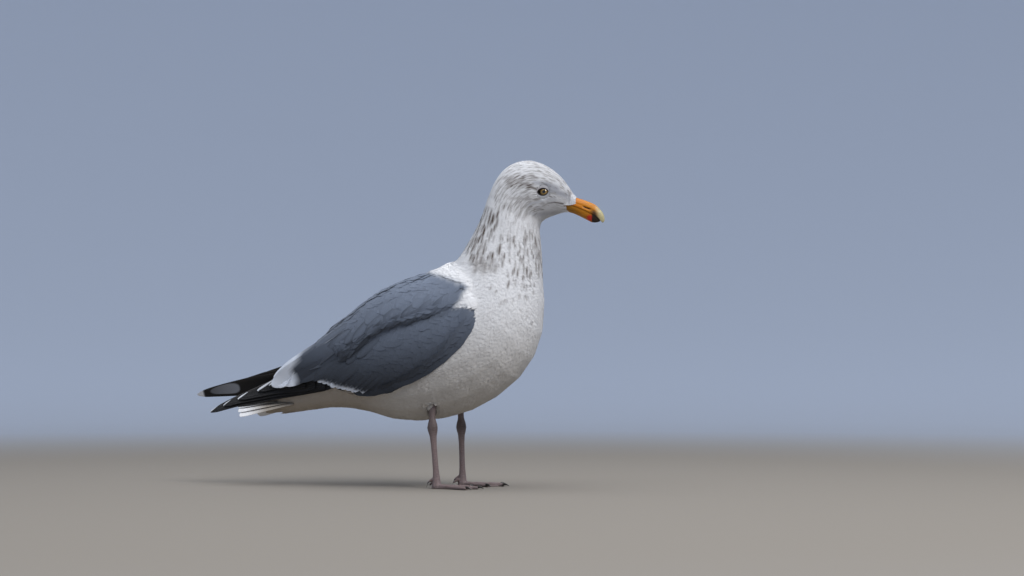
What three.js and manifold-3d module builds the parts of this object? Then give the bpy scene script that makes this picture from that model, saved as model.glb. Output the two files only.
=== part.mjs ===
// A herring gull in winter plumage, standing at rest with its wings folded, as a life-size still model.
// Millimetres, +Z up, +X towards the bill, +Y to the bird's left, the ground at Z = 0.
//
// The body is one form lofted through egg-shaped cross-sections and parted by thin cuts into rump, trunk,
// neck and head. The folded wings, tertials and scapulars are shells laid over that form, each over the one
// below it. The primaries, the tail feathers, the legs and the feet are solids of their own.

import * as THREE from "three";
import { mergeVertices } from "three/addons/utils/BufferGeometryUtils.js";
import Module from "manifold-3d";

const wasm = await Module();
wasm.setup();

// ---------------------------------------------------------------- driving dimensions

const GAP = 0.3; // clearance between neighbouring solids
const VANE = 0.8; // thickness of a flight feather

// The body's cross-sections from the tail to the bill. Each stands on the middle plane between a point on the
// back and a point on the belly, both [x, z]. half is its half width, and wide is how far up it is widest.
const BODY = [
  { name: "end of the tail coverts", back: [-160, 127], belly: [-171, 90], half: 9.5, wide: 0.5 },
  { name: "tail coverts", back: [-138, 146.5], belly: [-141, 92.5], half: 14, wide: 0.5 },
  { name: "tail root", back: [-114, 162], belly: [-104, 97.5], half: 21, wide: 0.5 },
  { name: "vent", back: [-80, 189], belly: [-62, 101.5], half: 33, wide: 0.5 },
  { name: "rump", back: [-46, 215], belly: [-22, 96], half: 46, wide: 0.49 },
  { name: "thighs", back: [-8, 243], belly: [24, 84.5], half: 55, wide: 0.47 },
  { name: "back", back: [30, 261.5], belly: [76, 87], half: 60, wide: 0.45 },
  { name: "saddle", back: [60, 270.5], belly: [126, 102], half: 61.5, wide: 0.44 },
  { name: "shoulders", back: [86, 281], belly: [172, 132.5], half: 60, wide: 0.43 },
  { name: "breast", back: [103, 297.5], belly: [200.5, 172], half: 55.5, wide: 0.45 },
  { name: "crop", back: [113, 314], belly: [211.5, 218], half: 47.5, wide: 0.48 },
  { name: "neck root", back: [123, 330.5], belly: [209, 260], half: 40, wide: 0.5 },
  { name: "neck", back: [131, 348], belly: [207.5, 297], half: 34.5, wide: 0.5 },
  { name: "nape", back: [138, 369], belly: [205.5, 325], half: 31.5, wide: 0.5 },
  { name: "hind crown", back: [148.5, 392], belly: [207.5, 336], half: 29.5, wide: 0.5 },
  { name: "crown", back: [167, 411], belly: [212, 339.5], half: 28.5, wide: 0.5 },
  { name: "brow", back: [195, 416.5], belly: [218, 342], half: 26.5, wide: 0.5 },
  { name: "forehead", back: [223, 404], belly: [227, 345], half: 22, wide: 0.46 },
  { name: "lores", back: [241, 386], belly: [239, 348], half: 15, wide: 0.44 },
  { name: "bill root", back: [250, 372], belly: [249, 347], half: 9, wide: 0.5 },
];
const RING = 20; // corners of one cross-section of the body
const TRUNK_STARTS = 4.5; // the parting cuts, counted in cross-sections from the tail
const NECK_STARTS = 10.4;
const HEAD_STARTS = 13.3;

// The shells over the body's side, in rows from front to back: x, the heights of the upper and lower edge,
// and how far the shell stands off the body at its upper edge, its middle and its lower edge. An upper edge
// higher than the back stops at the middle of the back.
const WING = [
  [138, 230, 223, 3, 3, 3],
  [135, 238, 210, 4, 5, 4],
  [125, 245, 192, 4, 7.5, 4.5],
  [98, 246, 166, 4, 8.5, 5],
  [66, 236, 144, 4, 9, 5],
  [36, 224, 129, 4, 9, 5.5],
  [10, 214, 119, 4, 9, 6],
  [-10, 204, 116, 4, 9.5, 7.5],
  [-36, 192, 121, 4, 10.5, 9.5],
  [-66, 180, 129.5, 4, 11, 10.5],
  [-90, 166, 135, 4, 11.5, 11],
  [-102, 156, 140, 6, 10, 10],
];
const TERTIALS = [
  [-34, 214, 192, 4, 6, 6],
  [-48, 225, 170, 4.5, 7, 7],
  [-62, 220, 161, 6, 11, 11],
  [-84, 210, 151, 7, 13.5, 13.5],
  [-106, 195, 139, 7.5, 13, 13],
  [-124, 182, 129, 8, 12, 12],
  [-138, 170, 125, 9, 11.5, 11],
  [-147, 158, 128, 9.5, 11, 10.5],
  [-152, 144, 134, 9.5, 10, 9.5],
];
const SCAPULARS = [
  [129, 255, 246, 3, 3, 3],
  [122, 263, 236, 4, 6, 6],
  [110, 272, 229, 4, 9.5, 10],
  [97, 281, 224, 4, 10.5, 12.5],
  [83, 291, 219, 4, 11.5, 13.5],
  [56, 295, 210, 4, 13, 14.5],
  [26, 288, 203, 4, 14, 15],
  [4, 276, 194, 4.5, 14.5, 15.5],
  [-16, 262, 177, 5.5, 15.5, 16.5],
  [-32, 248, 166, 6, 15.5, 17],
  [-46, 234, 166, 6, 15, 16.5],
  [-58, 218, 174, 7, 14, 16],
  [-70, 198, 186, 11, 14, 14],
];

// ---------------------------------------------------------------- making solids

// Numbers read between the rows of a list by a Catmull-Rom curve; at counts rows from 0.
function between(rows, at) {
  const i = Math.min(Math.floor(at), rows.length - 2);
  const t = at - i;
  const row = (k) => rows[Math.min(Math.max(k, 0), rows.length - 1)];
  return row(i).map((b, n) => {
    const a = row(i - 1)[n];
    const c = row(i + 1)[n];
    const d = row(i + 2)[n];
    return b + 0.5 * t * (c - a + t * (2 * a - 5 * b + 4 * c - d + t * (3 * (b - c) + d - a)));
  });
}

// A closed surface through rings of equally many points, with a fan of triangles over each end. The two
// faces of a thin vane are split along the same diagonals, so that they never meet.
function loft(rings, thin = false) {
  const n = rings[0].length;
  const middle = (ring) => ring.reduce((sum, p) => sum.add(p), new THREE.Vector3()).divideScalar(n);
  const points = [...rings.flat(), middle(rings[0]), middle(rings[rings.length - 1])];
  const index = [];
  for (let j = 0; j < n; j++) {
    const k = (j + 1) % n;
    for (let i = 0; i + 1 < rings.length; i++) {
      const [a, b] = [i * n + j, i * n + k];
      if (thin && j >= n / 2) index.push(a, a + n, b + n, a, b + n, b);
      else index.push(a, a + n, b, b, a + n, b + n);
    }
    const last = (rings.length - 1) * n;
    index.push(points.length - 2, j, k, points.length - 1, last + k, last + j);
  }
  const geometry = new THREE.BufferGeometry().setFromPoints(points);
  geometry.setIndex(index);
  return geometry;
}

// A manifold-3d solid of a closed geometry, turned face outwards.
function solid(geometry) {
  const bare = geometry.clone();
  bare.deleteAttribute("normal");
  bare.deleteAttribute("uv");
  const merged = mergeVertices(bare, 1e-4);
  const corners = new Uint32Array(merged.index.array);
  const build = () =>
    new wasm.Manifold(
      new wasm.Mesh({
        numProp: 3,
        vertProperties: new Float32Array(merged.attributes.position.array),
        triVerts: corners,
      }),
    );
  const made = build();
  if (made.volume() > 0) return made;
  for (let i = 0; i < corners.length; i += 3) {
    [corners[i + 1], corners[i + 2]] = [corners[i + 2], corners[i + 1]];
  }
  return build();
}

const joined = (parts) => parts.reduce((a, b) => a.add(b));

// The largest piece of a solid that a cut has left in several.
const largest = (made) => made.decompose().reduce((a, b) => (a.volume() > b.volume() ? a : b));

const aboveGround = solid(new THREE.BoxGeometry(900, 400, 600).translate(0, 0, 300));

const bird = new THREE.Group();

// Adds a solid to the bird as a named mesh with its own colour.
function place(name, made, colour, roughness = 0.8) {
  const mesh = made.getMesh();
  const geometry = new THREE.BufferGeometry();
  geometry.setAttribute("position", new THREE.BufferAttribute(mesh.vertProperties, 3));
  geometry.setIndex(new THREE.BufferAttribute(mesh.triVerts, 1));
  const material = new THREE.MeshStandardMaterial({ color: colour, roughness, metalness: 0 });
  const node = new THREE.Mesh(geometry, material);
  node.name = name;
  bird.add(node);
}

const WHITE = 0xe9e9ee;
const GREY = 0x7f8894;
const BLACK = 0x16161a;
const YELLOW = 0xd99a1c;
const PINK = 0xb59c9a;
const HORN = 0x2a2420;

// ---------------------------------------------------------------- body: trunk, neck and head

const BODY_ROWS = BODY.map((s) => [...s.back, ...s.belly, s.half, s.wide]);
const LAST = BODY.length - 1;

// The point of the body's surface at a cross-section and an angle, 0 on the back, a half turn on the belly.
function bodyPoint(at, angle, grow = 0) {
  const [backX, backZ, bellyX, bellyZ, half, wide] = between(BODY_ROWS, at);
  const up = new THREE.Vector2(backX - bellyX, backZ - bellyZ);
  const height = up.length();
  up.normalize();
  const share = Math.cos(angle);
  const along = wide * height + share * ((share > 0 ? 1 - wide : wide) * height + grow);
  return new THREE.Vector3(bellyX + up.x * along, Math.sin(angle) * (half + grow), bellyZ + up.y * along);
}

// Where the loft's rings stand from one cut to the next, in cross-sections. Between the cuts they keep to one
// grid, so that solids made apart share their facets.
const STEP = 0.68;
const CUT = 0.016; // a parting cut
function stands(from, to, step = STEP) {
  const list = [from];
  for (let k = 1; k * step < to - 0.2; k++) if (k * step > from + 0.2) list.push(k * step);
  list.push(to);
  return list;
}

// The body's form through the rings at the given places.
function bodyForm(places, grow = 0) {
  const rings = places.map((at) => {
    const ring = [];
    for (let k = 0; k < RING; k++) ring.push(bodyPoint(at, (2 * Math.PI * k) / RING, grow));
    return ring;
  });
  return solid(loft(rings));
}

const rumpStands = stands(0, TRUNK_STARTS - 0.7 * CUT);
const trunkStands = stands(TRUNK_STARTS, NECK_STARTS - CUT);
const rump = bodyForm(rumpStands);
const trunk = bodyForm(trunkStands);
const neck = bodyForm(stands(NECK_STARTS, HEAD_STARTS - CUT));
const grownTrunk = bodyForm([...rumpStands, ...trunkStands], GAP);

// ---------------------------------------------------------------- eyes

const EYE = { x: 216, y: 17.9, z: 372.5, radius: 8.6 };

function eyeBall(side, grow) {
  const ball = new THREE.SphereGeometry(EYE.radius + grow, 10, 8);
  ball.rotateX(Math.PI / 2);
  ball.translate(EYE.x, side * EYE.y, EYE.z);
  return solid(ball);
}

const sockets = joined([eyeBall(1, GAP), eyeBall(-1, GAP)]);
const head = bodyForm(stands(HEAD_STARTS, LAST, 0.5)).subtract(sockets);

// ---------------------------------------------------------------- bill

// Rows of the closed bill from its root to its tip, on the middle plane: x, then the heights of the culmen,
// the cutting edge and the gonys, then the half width.
const BILL = [
  [250.7, 371.5, 355.5, 347.2, 7.8],
  [257, 368.6, 353, 343.6, 7.2],
  [265, 365.2, 349.6, 339.4, 6.5],
  [272, 362.4, 346.4, 335.6, 5.9],
  [279, 357.6, 342.8, 334.4, 5.1],
  [284.5, 351, 338.8, 334.6, 3.9],
  [288, 343, 335.4, 334, 2.4],
];

// One half of the bill: its ridge is rounded and its other side, the cutting edge, is flat.
function mandible(ridge, clearance, to) {
  const rings = [];
  for (let i = 0; i <= 12; i++) {
    const row = between(BILL, (to * i) / 12);
    const flat = row[2] + clearance;
    const ring = [];
    for (let k = 0; k <= 8; k++) {
      const angle = (Math.PI * k) / 8;
      const y = row[4] * Math.sign(Math.cos(angle)) * Math.abs(Math.cos(angle)) ** 0.8;
      ring.push(new THREE.Vector3(row[0], y, flat + (row[ridge] - flat) * Math.sin(angle) ** 0.85));
    }
    rings.push(ring);
  }
  return solid(loft(rings));
}

// The drop of horn at the end of the upper half, which closes over the lower half's tip.
function hook(grow) {
  const drop = new THREE.SphereGeometry(1, 12, 8).scale(2.9 + grow, 2.5 + grow, 6.2 + grow);
  return solid(drop.rotateY(-0.12).translate(286.3, 0, 339));
}

place("head", head, WHITE);
place("eye_right", eyeBall(-1, 0), YELLOW, 0.2);
place("eye_left", eyeBall(1, 0), YELLOW, 0.2);
place("bill_upper", mandible(1, GAP / 2, 6).add(hook(0)), YELLOW, 0.35);
place("bill_lower", mandible(3, -GAP / 2, 5.2).subtract(hook(GAP)), YELLOW, 0.35);
place("neck", neck, WHITE);

// ---------------------------------------------------------------- primaries

// Along one folded wing tip, from front to back: x, how far out the feathers' shafts lie, the height of the
// lower edge on the right and on the left side, and how far the feathers lean in, in radians. The left wing
// rests higher and reaches further back.
const WING_TIP = [
  [-56, 38.6, 124.5, 133, -0.12],
  [-70, 34.2, 122.7, 131.5, -0.1],
  [-85, 29.9, 120.5, 129.8, -0.06],
  [-100, 25.8, 118.2, 128, -0.02],
  [-115, 22.6, 116, 126.2, 0.06],
  [-130, 20.2, 113.8, 124.2, 0.16],
  [-145, 17.8, 111.4, 122.3, 0.27],
  [-160, 15.8, 108.7, 120.4, 0.37],
  [-180, 14.6, 105.3, 118.2, 0.46],
  [-200, 14, 101.8, 116.4, 0.53],
  [-230, 12, 94.5, 115, 0.53],
  [-275, 9, 82, 113.5, 0.53],
];
const OUTER_VANE = 4;
const INNER_VANE = 24;
const STACK = VANE + GAP + 0.08; // from one feather of the stack to the next

// The visible feathers of each stack, from the longest out: the x of its tip, the x where it comes out from
// under the coverts, and how far it is lifted.
const PRIMARIES = {
  right: [[-243, -58, 0], [-224, -70, 3.5], [-203, -85, 7], [-175, -100, 13], [-157, -115, 16]],
  left: [[-272, -58, 0], [-251, -70, 3.5], [-229, -85, 7], [-198, -100, 11], [-168, -115, 14]],
};

// The place of a folded wing tip at x: its shaft line and the directions out from it and up across it.
function wingTipAt(side, x) {
  const k = WING_TIP.findIndex((row, n) => n === WING_TIP.length - 2 || WING_TIP[n + 1][0] < x);
  const t = (x - WING_TIP[k][0]) / (WING_TIP[k + 1][0] - WING_TIP[k][0]);
  const [, out, right, left, lean] = WING_TIP[k].map((v, n) => v + (WING_TIP[k + 1][n] - v) * t);
  const shaft = new THREE.Vector3(x, side * out, (side < 0 ? right : left) + OUTER_VANE);
  const outwards = new THREE.Vector3(0, side * Math.cos(lean), Math.sin(lean));
  const upwards = new THREE.Vector3(0, -side * Math.sin(lean), Math.cos(lean));
  const lifted = Math.min(1, (-55 - x) / 90);
  return { shaft, outwards, upwards, lifted };
}

// A ring across a wing tip from its lower edge over the shaft to its upper edge, between two depths.
function vaneRing({ shaft, outwards, upwards }, lower, upper, inside, outside) {
  const inner = [[lower, inside], [0, inside], [upper, inside]];
  const outer = [[upper, outside], [0, outside], [lower, outside]];
  return [...inner, ...outer].map(([across, off]) => {
    const cup = (1.1 * Math.max(across, 0)) / INNER_VANE;
    return shaft.clone().addScaledVector(upwards, across).addScaledVector(outwards, off - cup);
  });
}

// One primary. Its rings stand on the rows of the wing tip, so that the feathers of a stack run side by side.
function primary(side, name, number) {
  const [tip, root, lift] = PRIMARIES[name][number];
  const along = [root, ...WING_TIP.map((row) => row[0]).filter((x) => x < root - 4 && x > tip + 6)];
  along.push(tip + 3.5, tip + 0.8);
  const rings = along.map((x) => {
    const here = wingTipAt(side, x);
    here.shaft.addScaledVector(here.upwards, lift * here.lifted);
    const outer = OUTER_VANE * Math.min(1, (x - tip) / 12) ** 0.5;
    const inner = INNER_VANE * Math.min(1, (x - tip) / 80) ** 0.62;
    const level = number * STACK;
    return vaneRing(here, -outer, inner, level - VANE / 2, level + VANE / 2);
  });
  return solid(loft(rings, true));
}

// The room that a stack of primaries takes under the wing, with clearance for the twist between its rings.
const TWIST = 1.4;
function primaryRoom(side, name) {
  const feathers = PRIMARIES[name];
  const along = WING_TIP.map((row) => row[0]).filter((x) => x > -190);
  const rings = along.map((x, i) => {
    const here = wingTipAt(side, i === 0 ? x + 2 : x);
    const count = feathers.filter(([, root]) => root > x - 16).length;
    const rise = feathers[count - 1][2] * here.lifted;
    const outside = (count - 0.5) * STACK + TWIST + (1.1 * rise) / INNER_VANE;
    return vaneRing(here, -OUTER_VANE - GAP, INNER_VANE + rise + TWIST, -VANE / 2 - TWIST, outside);
  });
  return solid(loft(rings));
}

// ---------------------------------------------------------------- folded wings, tertials and scapulars

// The body's outline in the upright plane at x, from the middle of the back down one side to the belly.
function outlineAt(x) {
  const outline = [];
  for (let k = 0; k <= 60; k++) {
    const angle = (Math.PI * k) / 60;
    let [low, high] = [0, 13.6];
    for (let n = 0; n < 24; n++) {
      const mid = (low + high) / 2;
      if (bodyPoint(mid, angle).x < x) low = mid;
      else high = mid;
    }
    const at = bodyPoint((low + high) / 2, angle);
    outline.push(new THREE.Vector2(Math.max(at.y, GAP / 2), at.z));
  }
  return outline;
}

const ACROSS = [0, 0.2, 0.4, 0.6, 0.8, 0.93, 0.985, 1];
const ROUNDING = [0, 0, 0, 0, 0, 0.5, 1.6, 3.4]; // how far the shell falls off towards its lower edge

// A shell over one side of the body through the rows of its list. Its inside reaches depth into the body.
function shell(rows, side, steps, grow = 0, depth = 2.5) {
  const rings = [];
  for (let i = 0; i <= steps; i++) {
    const end = i === 0 ? grow : i === steps ? -grow : 0;
    const [x, top, low, first, crest, last] = between(rows, ((rows.length - 1) * i) / steps);
    const outline = outlineAt(x);
    const placeOf = (z) => {
      let k = 0;
      while (k < outline.length - 2 && outline[k + 1].y > z) k++;
      const drop = Math.max(outline[k].y - outline[k + 1].y, 1e-6);
      return k + Math.min(Math.max((outline[k].y - z) / drop, 0), 1);
    };
    const [from, to] = [placeOf(top + grow), placeOf(low - grow)];
    const point = (share, off) => {
      const at = Math.min(from + (to - from) * share, outline.length - 1.001);
      const k = Math.floor(at);
      const here = outline[k].clone().lerp(outline[k + 1], at - k);
      const run = outline[k + 1].clone().sub(outline[k]).normalize();
      here.add(new THREE.Vector2(-run.y, run.x).multiplyScalar(off));
      return new THREE.Vector3(x + end, side * Math.max(here.x, GAP / 2), here.y);
    };
    const ring = ACROSS.map((share, k) => {
      const edge = share < 0.5 ? first : last;
      const off = edge + (crest - edge) * Math.sin(share * Math.PI) ** (share < 0.5 ? 1.8 : 1);
      return point(share, Math.max(off - ROUNDING[k], off * 0.35) + grow);
    });
    for (const share of [1, 0.67, 0.33, 0]) ring.push(point(share, -depth));
    rings.push(ring);
  }
  return solid(loft(rings));
}

const WING_STEPS = 15;
const TERTIAL_STEPS = 10;
const SCAPULAR_STEPS = 14;
for (const [name, side] of [["right", -1], ["left", 1]]) {
  PRIMARIES[name].forEach((_, k) => place("primary_" + name + "_" + (k + 1), primary(side, name, k), BLACK));
  const room = primaryRoom(side, name);
  const wing = shell(WING, side, WING_STEPS).subtract(grownTrunk).subtract(room);
  const tertials = shell(TERTIALS, side, TERTIAL_STEPS).subtract(grownTrunk).subtract(room);
  const scapulars = shell(SCAPULARS, side, SCAPULAR_STEPS).subtract(grownTrunk);
  const overWing = shell(WING, side, WING_STEPS, GAP);
  const overTertials = shell(TERTIALS, side, TERTIAL_STEPS, GAP);
  place("wing_" + name, largest(wing), GREY);
  place("tertials_" + name, largest(tertials.subtract(overWing)), GREY);
  const clear = scapulars.subtract(overWing).subtract(overTertials).subtract(tertials);
  place("scapulars_" + name, largest(clear), GREY);
}

// ---------------------------------------------------------------- tail

// The closed tail: a middle feather over three pairs, each lower than the last, arched from side to side.
const TAIL = { root: [-122, 116], tip: [-203, 105.5], arch: 0.0125 };
const TAIL_FEATHERS = [
  { name: "tail_middle", y: 0, half: 10, down: 0, short: 0 },
  { name: "tail_right_1", y: -10.3, half: 9.8, down: 1, short: 1 },
  { name: "tail_left_1", y: 10.3, half: 9.8, down: 1, short: 1 },
  { name: "tail_right_2", y: -18.5, half: 9.5, down: 2, short: 5 },
  { name: "tail_left_2", y: 18.5, half: 9.5, down: 2, short: 5 },
  { name: "tail_right_3", y: -25.5, half: 9, down: 3, short: 10 },
  { name: "tail_left_3", y: 25.5, half: 9, down: 3, short: 10 },
];

const TAIL_STEPS = 6;

function tailFeather(feather) {
  const rings = [];
  for (let i = 0; i <= TAIL_STEPS; i++) {
    const back = 1 - (i / TAIL_STEPS) ** 1.8;
    const fan = 0.5 + 0.5 * back;
    const x = TAIL.root[0] + (TAIL.tip[0] - TAIL.root[0] + feather.short) * back;
    const z = TAIL.root[1] + (TAIL.tip[1] - TAIL.root[1]) * back - feather.down * STACK;
    const half = feather.half * fan * Math.min(1, 0.3 + (1 - back) * 12) ** 0.6;
    const ring = [];
    for (const face of [-1, 1]) {
      for (const across of [-1, 0, 1]) {
        const y = feather.y * fan - face * across * half;
        const drop = TAIL.arch * (y / fan) ** 2 * fan;
        ring.push(new THREE.Vector3(x, y, z - drop + (face * VANE) / 2));
      }
    }
    rings.push(ring);
  }
  return solid(loft(rings, true));
}

for (const feather of TAIL_FEATHERS) place(feather.name, tailFeather(feather), WHITE);

// The slot in the rump that the roots of the tail stand in.
const slot = [];
for (const back of [1, 0.5, -0.01]) {
  const fan = 0.5 + 0.5 * back;
  const x = TAIL.root[0] + (TAIL.tip[0] - TAIL.root[0]) * back;
  const z = TAIL.root[1] + (TAIL.tip[1] - TAIL.root[1]) * back;
  const ring = [];
  for (const [level, face] of [[3 * STACK + 1, -1], [-1, 1]]) {
    for (const across of [-1, -0.7, -0.45, -0.2, 0, 0.2, 0.45, 0.7, 1]) {
      const y = -face * across * 36;
      ring.push(new THREE.Vector3(x, y * fan, z - level - TAIL.arch * y ** 2 * fan));
    }
  }
  slot.push(ring);
}
const tailRoom = solid(loft(slot));

// ---------------------------------------------------------------- legs and feet

// A limb through rows of x, y, z and the half thickness fore and aft and from side to side.
function limb(rows, steps = rows.length - 1, corners = 10) {
  const rings = [];
  for (let i = 0; i <= steps; i++) {
    const [x, y, z, fore, wide] = between(rows, ((rows.length - 1) * i) / steps);
    const ring = [];
    for (let k = 0; k < corners; k++) {
      const angle = (2 * Math.PI * k) / corners;
      ring.push(new THREE.Vector3(x + fore * Math.cos(angle), y + wide * Math.sin(angle), z));
    }
    rings.push(ring);
  }
  return solid(loft(rings));
}

// A toe or a claw along a path of [x, y, z, radius], its rings square to the path seen from above.
function digit(path, corners = 6) {
  const from = new THREE.Vector2(path[0][0], path[0][1]);
  const heading = new THREE.Vector2(path[path.length - 1][0], path[path.length - 1][1]).sub(from).normalize();
  const rings = path.map(([x, y, z, radius]) => {
    const ring = [];
    for (let k = 0; k < corners; k++) {
      const angle = (2 * Math.PI * (k + 0.5)) / corners;
      const across = radius * Math.cos(angle);
      const [dx, dy] = [-heading.y * across, heading.x * across];
      ring.push(new THREE.Vector3(x + dx, y + dy, z + radius * Math.sin(angle)));
    }
    return ring;
  });
  return solid(loft(rings));
}

// Each leg's ankle and the ball of its foot, both [x, y], and how far its toes turn to the left, in radians.
const SHANK_TOP = 76;
const LEGS = {
  right: { side: -1, ankle: [74.8, -33], ball: [80.5, -33], turn: -0.02 },
  left: { side: 1, ankle: [92, 33], ball: [94, 33], turn: 0.06 },
};
// The toes' lengths, turns from the foot's own line and radii, and their joints as shares of the length with
// heights and shares of the radius.
const TOES = [
  { name: "inner", length: 43, turn: -0.47, radius: 3 },
  { name: "middle", length: 55, turn: 0.02, radius: 3.3 },
  { name: "outer", length: 51, turn: 0.44, radius: 3 },
];
const TOE_JOINTS = [
  [0, 3, 1],
  [0.3, 2.5, 0.9],
  [0.36, 2.6, 1],
  [0.62, 2.1, 0.8],
  [0.7, 2.2, 0.9],
  [1, 1.9, 0.68],
];
const FOOT_TOP = 10;
const CLAW = 8;
const WEB = 1.3;

const thighs = [];
for (const [name, leg] of Object.entries(LEGS)) {
  const [ax, ay] = leg.ankle;
  const [bx, by] = leg.ball;
  const lean = (z) => ax + ((bx - ax) * (SHANK_TOP - z)) / (SHANK_TOP - FOOT_TOP);
  const tibiaRows = (grow) => [
    [ax - 1, ay - leg.side * 3, 116, 6.5 + grow, 6 + grow],
    [ax - 0.6, ay - leg.side * 1.5, 98, 4.6 + grow, 4.2 + grow],
    [ax - 0.3, ay, 88, 4.2 + grow, 3.7 + grow],
    [ax, ay, 82, 6 + grow, 4.7 + grow],
    [ax, ay, SHANK_TOP + GAP, 7 + grow, 5.4 + grow],
  ];
  place("tibia_" + name, limb(tibiaRows(0), 8), PINK);
  thighs.push(limb(tibiaRows(GAP), 8));

  const shank = limb([
    [ax, ay, SHANK_TOP, 7, 5.4],
    [lean(72), ay, 72, 6.4, 4.9],
    [lean(66), ay, 66, 4.7, 3.7],
    [lean(55), ay, 55, 4.0, 2.9],
    [lean(40), ay, 40, 3.8, 2.7],
    [lean(24), ay, 24, 4.0, 2.9],
    [lean(15), by, 15, 4.7, 3.6],
    [lean(FOOT_TOP), by, FOOT_TOP, 5.2, 4.4],
  ]);
  place("shank_" + name, shank, PINK);

  // the toes spread from the ball of the foot, with a web between them
  const turnOf = (toe) => leg.turn + leg.side * toe.turn;
  const at = (toe, reach, z, radius) => [
    bx + Math.cos(turnOf(toe)) * reach,
    by + Math.sin(turnOf(toe)) * reach,
    z,
    radius,
  ];
  const ball = limb([
    [bx, by, -1, 6.8, 6],
    [bx, by, 4, 6.6, 5.8],
    [bx, by, 7.5, 5.6, 4.8],
    [lean(FOOT_TOP), by, FOOT_TOP - GAP, 5.2, 4.4],
  ]);
  const parts = [ball];
  for (const toe of TOES) {
    const joints = TOE_JOINTS.map(([share, z, thick]) => at(toe, toe.length * share, z, toe.radius * thick));
    parts.push(digit(joints));
  }
  const rim = new THREE.Shape();
  const end = (toe, share) => at(toe, toe.length * share, 0, 0);
  rim.moveTo(bx - 3, by - leg.side * 3);
  rim.lineTo(...end(TOES[0], 0.94).slice(0, 2));
  rim.quadraticCurveTo(...at({ turn: -0.24 }, 38, 0, 0).slice(0, 2), ...end(TOES[1], 0.93).slice(0, 2));
  rim.quadraticCurveTo(...at({ turn: 0.24 }, 40, 0, 0).slice(0, 2), ...end(TOES[2], 0.94).slice(0, 2));
  rim.lineTo(bx - 3, by + leg.side * 3);
  parts.push(solid(new THREE.ExtrudeGeometry(rim, { depth: WEB, bevelEnabled: false, curveSegments: 5 })));

  // the hind toe, short and set above the ground
  const hindToe = digit([
    [bx - 2, by - leg.side * 2, 10, 2.6],
    [bx - 7, by - leg.side * 4, 7.5, 2.2],
    [bx - 11, by - leg.side * 5, 4.4, 1.4],
  ]);
  parts.push(hindToe);
  const underShank = limb([
    [lean(FOOT_TOP), by, FOOT_TOP - GAP, 9, 9],
    [lean(FOOT_TOP), by, FOOT_TOP + 6, 9, 9],
  ]);
  place("foot_" + name, joined(parts).intersect(aboveGround).subtract(underShank), PINK);

  for (const toe of TOES) {
    const radius = toe.radius * 0.66;
    const claw = digit([
      at(toe, toe.length + GAP, 2.2, radius),
      at(toe, toe.length + CLAW * 0.45, 2.3, radius * 0.75),
      at(toe, toe.length + CLAW, 0.9, 0.4),
    ]);
    place("claw_" + toe.name + "_" + name, claw.intersect(aboveGround), HORN, 0.4);
  }
}

place("trunk", trunk.subtract(joined(thighs)), WHITE);
place("rump", largest(rump.subtract(tailRoom)), WHITE);

// the origin lies on the ground under the middle of the bird's length and width
const size = new THREE.Box3().setFromObject(bird);
const middle = size.getCenter(new THREE.Vector3());
bird.position.set(-middle.x, -middle.y, 0);

export default bird;
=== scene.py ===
from math import cos, pi, radians, sin, sqrt

import bmesh
import bpy
import numpy as np
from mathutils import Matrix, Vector
from mathutils.bvhtree import BVHTree
from mathutils.kdtree import KDTree


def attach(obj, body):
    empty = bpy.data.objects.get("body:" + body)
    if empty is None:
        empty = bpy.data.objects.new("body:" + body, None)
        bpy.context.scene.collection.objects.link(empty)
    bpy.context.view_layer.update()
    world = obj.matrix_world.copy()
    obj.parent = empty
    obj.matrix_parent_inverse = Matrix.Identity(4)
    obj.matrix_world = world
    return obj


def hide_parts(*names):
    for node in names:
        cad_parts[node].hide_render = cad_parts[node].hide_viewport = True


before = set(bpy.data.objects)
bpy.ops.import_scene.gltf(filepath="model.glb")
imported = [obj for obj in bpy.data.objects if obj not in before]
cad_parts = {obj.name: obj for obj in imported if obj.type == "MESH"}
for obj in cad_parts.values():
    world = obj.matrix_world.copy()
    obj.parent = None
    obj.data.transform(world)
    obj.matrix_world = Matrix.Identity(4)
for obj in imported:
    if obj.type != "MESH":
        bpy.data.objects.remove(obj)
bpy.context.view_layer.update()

MM = 0.001

# ---------------------------------------------------------------- camera
# A long lens about two metres off, a little ahead of the bird's right side and as high as its thighs.
# It looks slightly up, so the bird stands above eye level.
CAMERA_PLACE = (0.7434, -2.0673, 0.124)
CAMERA_TURN = 15.74
CAMERA_RISE = 3.45

camera_data = bpy.data.cameras.new("camera")
camera_data.sensor_width = 36
camera_data.lens = 59.48
camera_data.clip_start = 0.05
camera_data.clip_end = 60
camera = bpy.data.objects.new("camera", camera_data)
camera.location = CAMERA_PLACE
camera.rotation_euler = (radians(90 + CAMERA_RISE), 0, radians(CAMERA_TURN))
bpy.context.scene.collection.objects.link(camera)
bpy.context.scene.camera = camera

# ---------------------------------------------------------------- studio floor and light
# A round pale floor that curves up into a low wall all round, and no edge shows between them.
# Large soft lamps hang overhead and ahead of the bird, and a pale sky shines over the wall.
FLOOR_COLOUR = (0.26, 0.235, 0.205, 1)
WALL_COLOUR = (0.66, 0.73, 0.86, 1)
FLOOR_FLAT = 3.0
FLOOR_REACH = 6.0
WALL_TOP = 2.6
WALL_STEPS = 12


def shown(name, mesh, material=None):
    """A new object for a mesh, in the scene."""
    thing = bpy.data.objects.new(name, mesh)
    bpy.context.scene.collection.objects.link(thing)
    if material:
        thing.data.materials.append(material)
    return thing


def finish_of(name, roughness, specular=0.5):
    """A new material with its node tree and its shader."""
    material = bpy.data.materials.new(name)
    material.use_nodes = True
    tree = material.node_tree
    shader = tree.nodes["Principled BSDF"]
    shader.inputs["Roughness"].default_value = roughness
    shader.inputs["Specular IOR Level"].default_value = specular
    return material, tree, shader


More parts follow.
